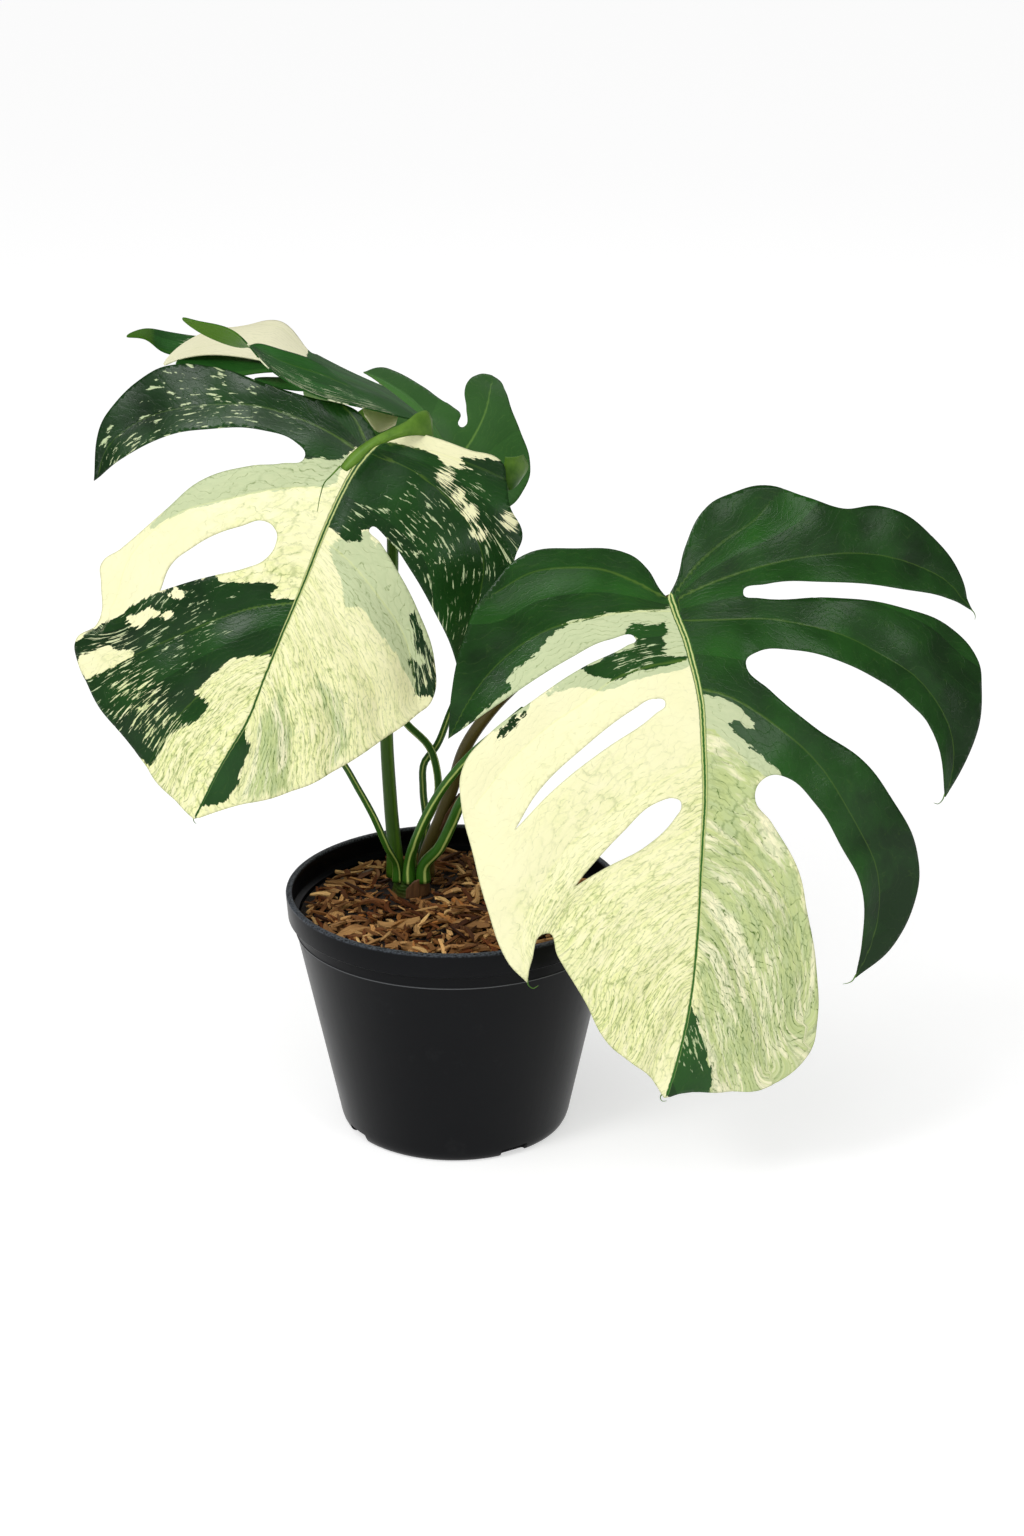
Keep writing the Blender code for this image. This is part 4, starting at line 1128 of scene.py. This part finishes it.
RIGHT_OUTLINE = [
    (-2, -1, 1), (4, -12), (9, -30), (22, -53), (38, -61), (58, -65), (83, -58), (107, -51), (133, -52),
    (165, -37), (189, -11), (195, 8, 1), (183, 2), (145, -5), (94, -9), (57, -8), (43, -3), (52, 0),
    (98, 0), (142, 6), (175, 20), (188, 39), (187, 58), (176, 95), (155, 126, 1), (147, 79), (136, 66),
    (121, 53), (93, 38), (67, 31), (42, 32), (35, 38), (47, 54), (70, 76), (100, 99), (118, 125),
    (134, 159), (135, 190), (124, 217), (103, 237, 1), (103, 214), (98, 177), (84, 150), (68, 123),
    (51, 106), (37, 105), (30, 116), (40, 132), (57, 163), (65, 191), (74, 224), (82, 262), (81, 287),
    (64, 302), (37, 305), (6, 300), (-3, 303, 1), (-17, 288), (-45, 267), (-66, 236), (-83, 211),
    (-91, 197), (-98, 216), (-99, 229, 1), (-113, 214), (-127, 180), (-135, 150), (-141, 117), (-138, 96),
    (-124, 79), (-91, 56), (-60, 38), (-32, 26), (-26, 22), (-40, 22), (-67, 33), (-105, 54), (-145, 79, 1),
    (-139, 53), (-125, 20), (-104, -10), (-84, -28), (-54, -31), (-24, -27), (-13, -18), (-6, -6),
]
RIGHT_HOLES = [
    [(-16, 59), (-21, 57), (-35, 63), (-67, 85), (-95, 110), (-110, 133, 1), (-85, 108), (-55, 86),
     (-23, 66)],
    [(-13, 119), (-15, 116), (-26, 117), (-48, 135), (-67, 156), (-76, 168, 1), (-57, 156), (-33, 143),
     (-17, 127)],
]
LEFT_OUTLINE = [
    (0, -5, 1), (-13, -12), (-23, -15), (-46, -10), (-81, -5), (-109, -2), (-138, 8), (-155, 23),
    (-168, 49), (-171, 68), (-161, 97, 1), (-149, 77), (-130, 54), (-102, 35), (-69, 21), (-46, 19),
    (-38, 24), (-50, 34), (-68, 44), (-92, 63), (-108, 91), (-124, 126), (-132, 141), (-127, 152),
    (-117, 176), (-124, 191), (-117, 203), (-98, 218), (-69, 230), (-35, 245), (-12, 253), (-2, 255, 1),
    (13, 238), (40, 213), (58, 188), (73, 161), (86, 136), (91, 124), (82, 100), (60, 76), (35, 57),
    (24, 50), (15, 45), (27, 46), (46, 56), (70, 73), (90, 90), (103, 107, 1), (109, 80), (106, 45),
    (103, 20), (102, 5), (88, -6), (80, -18), (72, -27), (50, -24), (28, -21), (7, -15),
]
LEFT_HOLES = [
    [(-37, 72), (-47, 70), (-59, 79), (-71, 90), (-82, 105), (-90, 120), (-89, 138, 1), (-73, 123),
     (-61, 113), (-45, 100), (-36, 90), (-34, 78)],
]
BACK_OUTLINE = [
    (0, -3, 1), (12, -18), (30, -24), (47, -12), (56, 12), (57, 42), (53, 66), (41, 56), (30, 54), (28, 62),
    (34, 78), (41, 91), (47, 102, 1), (36, 104), (28, 98), (11, 73), (3, 61), (-4, 54), (-8, 49), (-6, 38),
    (-9, 38), (-13, 55), (-14, 70), (-17, 78), (-23, 85), (-31, 89), (-38, 86), (-41, 71), (-42, 53),
    (-45, 37), (-49, 12), (-42, -8), (-26, -22), (-10, -16),
]

RIGHT_PLAN = {
    "rib_width": 2.0,
    "midrib": [
        (0, -2), (0, 6), (2, 14), (4, 38), (5, 56), (3, 82), (1, 114), (-2, 150), (-2, 205), (-1, 245),
        (-2, 301),
    ],
    "right_veins": [
        [(2, -1), (13, -16), (31, -32), (54, -47), (60, -53)],
        [(3, -1), (26, -10), (53, -18), (87, -24), (123, -25), (155, -19), (181, -7), (195, 7)],
        [(6, 12), (27, 12), (56, 12), (82, 17), (106, 25), (125, 36), (144, 50), (158, 71), (163, 94),
         (155, 127)],
        [(6, 52), (20, 56), (34, 64), (50, 77), (64, 90), (74, 102), (85, 121), (98, 144), (107, 163),
         (112, 190), (109, 215), (102, 238)],
        [(0, 133), (21, 147), (39, 166), (54, 190), (64, 219), (73, 256)],
        [(-2, 179), (12, 196), (29, 224), (43, 254), (59, 291)],
        [(-2, 222), (10, 246), (25, 277), (39, 303)],
    ],
    "left_veins": [
        [(-4, -1), (-21, -11), (-38, -18), (-59, -20), (-80, -18), (-101, -7)],
        [(-2, 6), (-23, 6), (-58, 11), (-71, 14), (-93, 24), (-110, 36), (-131, 59), (-144, 79)],
        [(0, 35), (-22, 38), (-45, 46), (-61, 57), (-84, 71), (-110, 92), (-132, 117)],
        [(1, 94), (-32, 109), (-58, 126), (-80, 145), (-96, 172), (-105, 205), (-97, 229)],
        [(-1, 131), (-33, 148), (-58, 163), (-75, 179), (-87, 197)],
        [(-2, 168), (-28, 185), (-48, 206), (-58, 227), (-59, 245)],
        [(-3, 204), (-20, 224), (-29, 245), (-32, 272)],
        [(-2, 236), (-10, 257), (-14, 279), (-12, 291)],
    ],
    "dark": [
        [(-1, -1), (-6, 6), (-27, 6), (-43, 8), (-58, 11), (-71, 16), (-77, 23), (-86, 30), (-98, 38),
         (-106, 45), (-104, 49), (-114, 57), (-128, 68), (-145, 80), (-156, 83), (-134, -4), (-115, -40),
         (-17, -38), (-1, -6)],
        [(0, -1), (2, 13), (3, 30), (5, 44), (8, 52), (17, 57), (26, 63), (34, 71), (35, 76), (30, 77),
         (25, 72), (18, 72), (24, 81), (35, 91), (42, 99), (48, 104), (58, 138), (81, 203), (96, 251),
         (161, 264), (188, 132), (207, 1), (147, -61), (62, -74), (2, -62)],
        [(-32, 17), (-25, 14), (-5, 13), (-5, 16), (-10, 22), (-9, 28), (-16, 32), (-1, 33), (-3, 37),
         (-22, 40), (-38, 44), (-45, 48), (-51, 49), (-46, 45), (-59, 42), (-60, 38), (-49, 34), (-42, 31),
         (-28, 27), (-26, 22), (-30, 20)],
        [(-117, 80), (-115, 75), (-106, 67), (-97, 61), (-97, 65), (-103, 71), (-110, 76)],
        [(-2, 226), (5, 252), (9, 262), (15, 273), (21, 286), (25, 303), (14, 304), (-2, 302), (-2, 270),
         (-1, 245)],
    ],
    "grey": [
        [(-1, 5), (-27, 5), (-42, 8), (-58, 10), (-72, 15), (-78, 23), (-87, 30), (-99, 38), (-107, 45),
         (-105, 49), (-115, 57), (-129, 68), (-146, 80), (-130, 77), (-99, 58), (-64, 38), (-88, 55),
         (-77, 51), (-54, 49), (-23, 41), (-3, 37), (1, 30)],
        [(5, 52), (17, 56), (27, 62), (35, 71), (36, 77), (43, 98), (49, 106), (36, 104), (28, 96),
         (18, 84), (9, 76), (4, 72)],
    ],
    "moss": [
        [(7, 52), (17, 56), (27, 62), (35, 71), (36, 77), (43, 98), (49, 104), (33, 107), (52, 150),
         (76, 215), (94, 285), (77, 314), (20, 309), (1, 300), (5, 240), (1, 177), (1, 117), (4, 82)],
    ],
    "flecks": [(-30, 30, 34, 1.1), (10, 268, 40, 1.05), (-106, 71, 20, 0.8), (22, 74, 22, 0.4)],
    "mottle": [
        (-40, 245, 80, 1.0), (-70, 190, 50, 0.9), (-25, 180, 50, 0.7), (-50, 130, 70, 0.35),
        (40, 230, 110, 1.0), (15, 130, 50, 0.9),
    ],
}
LEFT_PLAN = {
    "rib_width": 1.8,
    "midrib": [
        (1, -4), (-2, 3), (-6, 14), (-9, 35), (-10, 58), (-9, 90), (-8, 120), (-6, 155), (-3, 184),
        (-4, 222), (-2, 252),
    ],
    "right_veins": [
        [(1, -3), (25, -11), (56, -17), (79, -19)],
        [(-1, 4), (25, 2), (49, 6), (71, 16), (86, 31), (92, 54), (95, 87)],
        [(-8, 64), (9, 68), (36, 80), (59, 94), (74, 113), (83, 127)],
        [(-7, 88), (13, 100), (37, 116), (58, 134), (72, 154)],
        [(-7, 111), (11, 128), (34, 150), (48, 170), (55, 189)],
        [(-6, 141), (8, 158), (24, 177), (33, 196), (39, 211)],
        [(-4, 169), (5, 187), (11, 207), (15, 228)],
    ],
    "left_veins": [
        [(-6, 0), (-20, -10), (-28, -13)],
        [(-12, 6), (-33, 4), (-53, 5), (-74, 8), (-94, 15), (-121, 29), (-148, 50), (-161, 75), (-159, 97)],
        [(-14, 33), (-37, 43), (-62, 59), (-79, 72), (-95, 85), (-110, 106), (-117, 130), (-114, 157)],
        [(-9, 106), (-32, 121), (-55, 144), (-77, 170), (-95, 194), (-105, 211)],
        [(-6, 133), (-23, 157), (-36, 181), (-44, 209), (-44, 238)],
        [(-6, 163), (-16, 189), (-21, 213), (-21, 239), (-17, 254)],
    ],
    "dark": [
        [(-39, 25), (-17, 16), (-11, 6), (0, -5), (-6, -21), (-33, -26), (-78, -26), (-154, 7), (-184, 64),
         (-167, 109), (-149, 100), (-126, 72), (-102, 46), (-66, 28)],
        [(-124, 196), (-119, 182), (-109, 168), (-100, 153), (-89, 138), (-77, 124), (-61, 113),
         (-58, 115), (-46, 111), (-32, 103), (-26, 99), (-23, 102), (-26, 107), (-23, 109), (-17, 106),
         (-11, 100), (-9, 102), (-8, 114), (-7, 131), (-12, 139), (-20, 146), (-29, 155), (-33, 164),
         (-36, 170), (-41, 184), (-29, 185), (-30, 197), (-38, 208), (-42, 217), (-42, 227), (-43, 239),
         (-61, 236), (-71, 230), (-85, 226), (-101, 219), (-109, 214)],
        [(0, 184), (5, 196), (7, 207), (10, 221), (9, 236), (0, 252), (-3, 243), (-4, 232), (-4, 219),
         (-4, 207), (-4, 194)],
        [(-2, 17), (0, 2), (9, -8), (20, -10), (34, -13), (42, -9), (52, -12), (60, -14), (50, -15),
         (48, -18), (75, -29), (88, -31), (98, -15), (122, 40), (107, 102), (93, 101), (80, 87), (49, 62),
         (23, 47), (15, 45), (11, 50), (13, 55), (7, 59), (0, 57), (-6, 56), (-7, 46), (-5, 35)],
        [(57, 81), (59, 79), (66, 85), (73, 92), (82, 98), (92, 118), (87, 122), (81, 125), (76, 117),
         (68, 107), (68, 104), (73, 106), (76, 108), (77, 103), (71, 99), (67, 96), (64, 90)],
    ],
    "splash": [
        [(-84, 138), (-80, 132), (-70, 128), (-72, 133), (-82, 140)],
        [(-103, 164), (-89, 150), (-76, 146), (-76, 149), (-85, 155), (-90, 163), (-98, 170), (-102, 172),
         (-96, 165)],
        [(-119, 201), (-111, 192), (-105, 184), (-98, 185), (-87, 178), (-86, 183), (-95, 195),
         (-103, 207), (-105, 212), (-114, 208)],
    ],
    "grey": [
        [(-115, 110), (-102, 72), (-86, 55), (-61, 39), (-38, 25), (-16, 16), (-14, 29), (-17, 34),
         (-37, 43), (-61, 59), (-78, 72), (-95, 86), (-104, 96)],
        [(-4, 65), (7, 63), (15, 52), (41, 61), (63, 78), (76, 93), (78, 116), (69, 111), (58, 105),
         (42, 98), (30, 89), (20, 93), (10, 80)],
    ],
    "moss": [
        [(2, 179), (7, 156), (24, 177), (40, 211), (16, 233), (11, 207)],
        [(20, 139), (37, 142), (51, 155), (61, 180), (54, 190), (45, 167), (29, 152)],
    ],
    "flecks": [
        (-112, 28, 100, 0.98), (-150, 70, 40, 1.0), (-60, 8, 50, 0.8), (60, 2, 42, 0.9), (95, 15, 40, 1.0),
        (90, 50, 70, 0.92), (45, 40, 80, 0.98), (80, 90, 70, 0.92), (46, -3, 13, 1.5), (58, 3, 12, 1.5),
        (68, 9, 12, 1.6), (77, 17, 12, 1.5), (92, 2, 14, 1.5), (10, 40, 32, 0.95), (-70, 150, 70, 0.95),
        (-100, 190, 55, 1.05), (-70, 205, 60, 1.12), (-48, 215, 45, 1.1), (-60, 120, 40, 0.8),
        (72, 105, 50, 1.1), (3, 215, 20, 0.5),
    ],
    "mottle": [
        (-30, 215, 95, 1.0), (20, 170, 95, 0.9), (-25, 110, 60, 0.7), (-40, 80, 50, 0.5),
        (30, 110, 60, 0.45), (-25, 45, 40, 0.4),
    ],
}
BACK_PLAN = {
    "rib_width": 1.0,
    "midrib": [(0, 0), (5, 25), (15, 52), (30, 80), (45, 100)],
    "right_veins": [
        [(0, 0), (18, -12), (38, -13)],
        [(2, 6), (28, 4), (47, 20), (54, 52)],
    ],
    "left_veins": [
        [(-1, 2), (-22, 4), (-42, 12)],
        [(0, 10), (-14, 30), (-25, 52), (-33, 80)],
    ],
    "dark": [
        [(-90, -60), (90, -60), (90, 140), (-90, 140)],
    ],
    "lime": [(50, 62, 12, 1.0)],
}

right_sheet = [RIGHT_OUTLINE, *RIGHT_HOLES]
add_blade("right_blade", right, right_sheet, RIGHT_PLAN, 1, [leaf_under, leaf_face])
left_sheet = [LEFT_OUTLINE, *LEFT_HOLES]
add_blade("left_blade", left, left_sheet, LEFT_PLAN, 2, [leaf_under, shaded_face])

# ---------------------------------------------------------------------------------------------
# Curled edges of the left leaf: a lime green strap folded over the top of its midrib, drawn out to
# a thin fibre, a scrap of cream sheath behind it, and the rolled end of its upper right lobe.
# ---------------------------------------------------------------------------------------------

FLAP_COLUMNS = 7
FLAP_STEPS = 28
FLAP_WALL = 0.0008

young_green, nodes = finish_of("young_green", 0.42, 0.2)
here = nodes.here()
shade = nodes.ramp(nodes.noise(here, 45.0, 4.0), 0.3, 0.7)
nodes.surface(
    Base_Color=nodes.blend(shade, tone(46, 86, 20), tone(108, 146, 50)),
    Normal=nodes.bump(nodes.noise(here, 400.0), 0.3),
)

cream_sheath, nodes = finish_of("cream_sheath")
shade = nodes.noise(nodes.here(), 90.0, 4.0)
nodes.surface(Base_Color=nodes.blend(shade, tone(224, 218, 158), tone(246, 242, 210)))


def add_flap(name, edge, other_edge, bulge, finish):
    """A thin flap between two edges, arched toward the front by so many millimetres."""
    bm = bmesh.new()
    rows = []
    sides = [smooth_path([soil_point(*place) for place in side], FLAP_STEPS) for side in (edge, other_edge)]
    for start, end in zip(*sides):
        row = []
        for column in range(FLAP_COLUMNS):
            share = column / (FLAP_COLUMNS - 1)
            arch = Vector((0, -bulge * MM * math.sin(math.pi * share), 0))
            row.append(bm.verts.new(start.lerp(end, share) + arch))
        rows.append(row)
    for before, after in zip(rows, rows[1:]):
        for i in range(FLAP_COLUMNS - 1):
            bm.faces.new((before[i], before[i + 1], after[i + 1], after[i]))
    bmesh.ops.remove_doubles(bm, verts=bm.verts, dist=1e-5)
    give_wall(add_piece(name, mesh_from(bm, name), [finish]), FLAP_WALL)


def hair_mesh(name, points, thick, thin):
    """A fine hair whose radius, in millimetres, narrows by this much at each place."""
    return stalk_mesh(name, points, [(thick - thin * i) * MM for i in range(len(points))], 1)


add_flap(
    "leaf_collar",
    [(-12, 30, 304), (-15, 28, 310), (-20, 24, 310), (-27, 18, 306), (-38, 12, 302), (-49, 8, 297),
     (-60, 6, 289), (-66, 4, 282)],
    [(-11, 28, 293), (-19, 20, 297), (-28, 14, 298), (-38, 10, 296), (-47, 6, 293), (-55, 4, 285),
     (-62, 2, 280)],
    2.5, young_green,
)
add_flap(
    "sheath_scrap",
    [(-55, 60, 303), (-47, 60, 305), (-32, 60, 302)],
    [(-53, 57, 299), (-45, 50, 291), (-35, 55, 294)],
    1.5, cream_sheath,
)
add_flap(
    "rolled_lobe_end",
    [(32, 30, 281), (31, 29, 270), (34, 33, 259)],
    [(43, 38, 280), (46, 41, 272), (40, 38, 262)],
    3.0, young_green,
)
fibre_route = [(-66, 2, 283), (-72, 0, 277), (-75, 0, 274), (-78, -1, 266), (-80, -2, 256)]
fibre = hair_mesh("collar_fibre", smooth_path([soil_point(*place) for place in fibre_route], 24), 0.55, 0.015)
add_piece("collar_fibre", fibre, [young_green])

TIP_HAIRS = [
    (right, [(-99, 227), (-98, 231), (-95, 233), (-92, 231)]),
    (right, [(103, 235), (101, 239), (98, 240), (95, 240)]),
    (right, [(155, 124), (153, 128), (150, 130), (147, 129)]),
    (right, [(-3, 301), (-5, 304), (-4, 307), (-1, 307)]),
    (right, [(194, 7), (196, 10), (196, 12), (195, 14)]),
    (left, [(-2, 253), (-3, 256), (-1, 258), (0, 258)]),
]
bm = bmesh.new()
for blade, hair in TIP_HAIRS:
    hair_points = smooth_path([blade.point(across * MM, along * MM) for across, along in hair], 12)
    bm.from_mesh(hair_mesh("hair", hair_points, 0.5, 0.03))
add_piece("tip_hairs", mesh_from(bm, "tip_hairs"), [young_green])

# ---------------------------------------------------------------------------------------------
# Back leaf: a small, plain green leaf seen from its matt side, behind the others.
# ---------------------------------------------------------------------------------------------

green_zones = ((60, 108, 44), (70, 116, 50), (60, 100, 50), (60, 104, 44))
green_colours = ((36, 76, 26), (58, 104, 44), *green_zones, (112, 150, 66))
green_under_colours = ((66, 104, 44), (92, 132, 60), *green_zones, (140, 170, 84))
green_face = leaf_finish("green_leaf_face", green_colours, 0.46, 0.5)
green_under = leaf_finish("green_leaf_under", green_under_colours, 0.55)
add_blade("back_blade", back, [BACK_OUTLINE], BACK_PLAN, 3, [green_under, green_face])

# ---------------------------------------------------------------------------------------------
# Top leaf: an old leaf rolled and twisted over itself, so that its lobes lie at odd angles: dark
# green ones, a cream one across its top, and lime green where an underside or an edge turns up.
# ---------------------------------------------------------------------------------------------

TOP_BODY = [
    [(-17, 52, 296), (-16, 60, 295), (-18, 68, 295)],
    [(-40, 58, 310), (-41, 76, 309), (-42, 92, 308)],
    [(-63, 64, 316), (-64, 88, 315), (-65, 106, 313)],
    [(-86, 84, 320), (-86, 100, 322), (-89, 118, 322)],
    [(-104, 92, 322), (-102, 114, 325), (-96, 138, 325)],
    [(-118, 96, 324), (-114, 120, 332), (-105, 150, 335)],
    [(-130, 98, 326), (-124, 122, 333), (-118, 152, 339)],
    [(-148, 98, 328), (-144, 120, 333), (-138, 148, 337)],
    [(-163, 96, 327), (-160, 112, 331), (-157, 132, 334)],
    [(-174, 94, 324), (-173, 102, 327), (-172, 110, 330)],
    [(-182, 92, 320)],
]
TOP_NEAR_LOBE = [
    [(-36, 38, 305), (-56, 44, 313), (-74, 54, 329)],
    [(-55, 26, 313), (-72, 36, 323), (-88, 50, 338)],
    [(-75, 18, 319), (-89, 32, 329), (-102, 48, 342)],
    [(-95, 16, 329), (-104, 32, 336), (-113, 48, 346)],
    [(-111, 20, 339), (-114, 34, 344), (-119, 50, 346)],
    [(-120, 28, 350), (-122, 42, 346), (-124, 54, 342)],
    [(-129, 36, 357), (-131, 46, 350), (-133, 55, 343)],
    [(-140, 40, 360), (-142, 47, 354), (-144, 52, 348)],
    [(-152, 42, 361), (-154, 46, 358), (-155, 48, 355)],
    [(-165, 44, 365)],
]
TOP_SMALL_LOBE = [
    [(-87, 88, 306), (-98, 98, 313)],
    [(-105, 88, 308), (-110, 98, 313)],
    [(-114, 88, 311), (-119, 95, 314)],
    [(-126, 90, 314)],
]
TOP_LOW_LOBE = [
    [(-118, 90, 319), (-119, 108, 324)],
    [(-132, 88, 316), (-134, 112, 326)],
    [(-149, 88, 315), (-150, 110, 328)],
    [(-164, 90, 318), (-163, 104, 328)],
    [(-175, 90, 324)],
]
TOP_FAR_TIP_LOBE = [
    [(-160, 160, 314), (-155, 185, 317)],
    [(-176, 165, 310), (-174, 190, 318)],
    [(-190, 165, 313), (-190, 182, 323)],
    [(-196, 160, 325), (-199, 168, 329)],
    [(-214, 150, 325)],
]
TOP_FAR_LOBE = [
    [(-47, 122, 303), (-66, 135, 309), (-84, 140, 318)],
    [(-56, 160, 288), (-76, 170, 294), (-96, 175, 301)],
    [(-69, 190, 273), (-85, 195, 275), (-100, 200, 282)],
    [(-102, 215, 267)],
]

top_bm = bmesh.new()
top_layers = [top_bm.verts.layers.float_vector.new(name) for name in LEAF_LAYERS.values()]


def cage_row(places, number, lobe, paint):
    """One row of the cage, with its paint: how dark, how flecked and how lime it is there."""
    made = []
    for column, place in enumerate(places):
        vert = top_bm.verts.new(soil_point(*place))
        dark, fleck, lime = paint(number, column)
        spot = (column * 18.0, number * 16.0, 60.0 + lobe * 9)
        vein = (column * 0.9 + lobe * 5.3 + 0.45, number * 16.0, 20.0)
        zones = (dark, -60.0, -60.0)
        values = (spot, vein, vein, zones, zones, (fleck, 40.0, 0.0), (lime, 9.0, 0.6))
        for layer, value in zip(top_layers, values):
            vert[layer] = value
        made.append(vert)
    return made


def cage_strip(root, rows, lobe, paint):
    """Quads from a root row of the cage out along a lobe, closed with triangles at its tip."""
    made = [root]
    for number, row in enumerate(rows):
        last = made[-1]
        verts = cage_row(row, number + 1, lobe, paint)
        for i in range(len(last) - 1):
            outer = verts if len(verts) == 1 else (verts[i + 1], verts[i])
            top_bm.faces.new((last[i], last[i + 1], *outer))
        made.append(verts)
    return made


def body_paint(row, column):
    return (9.0, 0.15, 0.0) if row < 4 else (-14.0, 0.0, 0.0)


def body_tip_paint(row, column):
    return -14.0, 0.0, 0.0


def near_paint(row, column):
    return 12.0, (1.08, 0.9, 0.3)[min(column, 2)], 0.0 if row < 7 else 0.8


def low_paint(row, column):
    return 12.0, 0.0, 0.45 if column == 0 else 0.0


def far_tip_paint(row, column):
    return 8.0, 0.95 if row in (1, 2) else 0.2, 1.0 if row > 3 else 0.0


def plain_paint(row, column):
    return 12.0, 0.1, 0.2 if column == 0 else 0.0


body = cage_strip(cage_row(TOP_BODY[0], 0, 0, body_paint), TOP_BODY[1:-1], 0, body_paint)
cage_strip(body[-1], TOP_BODY[-1:], 0, body_tip_paint)
cage_strip([body[0][0], body[1][0], body[2][0]], TOP_NEAR_LOBE, 1, near_paint)
cage_strip([body[2][0], body[3][0]], TOP_SMALL_LOBE, 2, plain_paint)
cage_strip([body[3][0], body[4][0]], TOP_LOW_LOBE, 3, low_paint)
cage_strip([body[1][2], body[2][2], body[3][2]], TOP_FAR_LOBE, 4, plain_paint)
cage_strip([body[7][2], body[6][2]], TOP_FAR_TIP_LOBE, 5, far_tip_paint)
bmesh.ops.recalc_face_normals(top_bm, faces=top_bm.faces)

top_face_colours = (
    (20, 60, 16), (50, 110, 42), (242, 238, 206), (224, 226, 176), (178, 192, 154), (196, 206, 146),
    (62, 104, 24),
)
top_under_colours = (
    (64, 104, 30), (96, 140, 34), (244, 236, 200), (232, 228, 176), (186, 196, 158), (192, 202, 150),
    (78, 120, 26),
)
top_face = leaf_finish("top_leaf_face", top_face_colours, 0.48, 0.5, 0.08)
top_under = leaf_finish("top_leaf_under", top_under_colours, 0.5)
top_mesh = mesh_from(top_bm, "top_blade")
top_piece = add_piece("top_blade_leaf", top_mesh, [top_face, top_under], ["top_blade"])
round_off(top_piece, 4)
give_wall(top_piece, LEAF_WALL, 1)

# ---------------------------------------------------------------------------------------------
# Floor and light: a plain pale floor under a bright, even studio sky, with one broad lamp up on
# the left and a weaker one on the right.
# ---------------------------------------------------------------------------------------------

FLOOR_HALF = 30
FLOOR_GLOW = 0.55
SKY_STRENGTH = 0.33
SUN_STRENGTH = 1.25
SUN_WAY = Vector((0.42, 0.55, -1.0))

bm = bmesh.new()
bmesh.ops.create_grid(bm, x_segments=1, y_segments=1, size=FLOOR_HALF)
floor_mesh = mesh_from(bm, "floor")
floor_paint, nodes = finish_of("floor_paint", 0.9, 0.0)
nodes.surface(
    Base_Color=(0.62, 0.62, 0.62, 1), Emission_Color=(1, 1, 1, 1), Emission_Strength=FLOOR_GLOW
)
floor_mesh.materials.append(floor_paint)
floor = put_in_scene("floor", floor_mesh)


def light_along(name, kind, way):
    """A lamp that shines this way."""
    lamp = put_in_scene(name, bpy.data.lights.new(name, kind))
    lamp.rotation_euler = way.to_track_quat("-Z", "Y").to_euler()
    return lamp


for name, place, aim, size, power in (
    ("key_light", Vector((-1.5, -1.6, 2.2)), Vector((0, 0, 0.3)), 0.9, 23),
    ("fill_light", Vector((1.35, -1.6, 1.05)), Vector((0.1, 0, 0.3)), 0.7, 7),
    ("rim_light", Vector((0.4, 1.9, 1.8)), Vector((0, 0, 0.35)), 1.2, 4),
):
    lamp = light_along(name, "AREA", aim - place)
    lamp.location = place
    lamp.data.shape = "DISK"
    lamp.data.size = size
    lamp.data.energy = power

sun = light_along("daylight", "SUN", SUN_WAY)
sun.data.energy = SUN_STRENGTH
sun.data.angle = math.radians(60)

world = bpy.data.worlds.new("studio")
world.use_nodes = True
world.node_tree.nodes["Background"].inputs["Color"].default_value = (1, 1, 1, 1)
world.node_tree.nodes["Background"].inputs["Strength"].default_value = SKY_STRENGTH
bpy.context.scene.world = world
bpy.context.scene.view_settings.view_transform = "Standard"
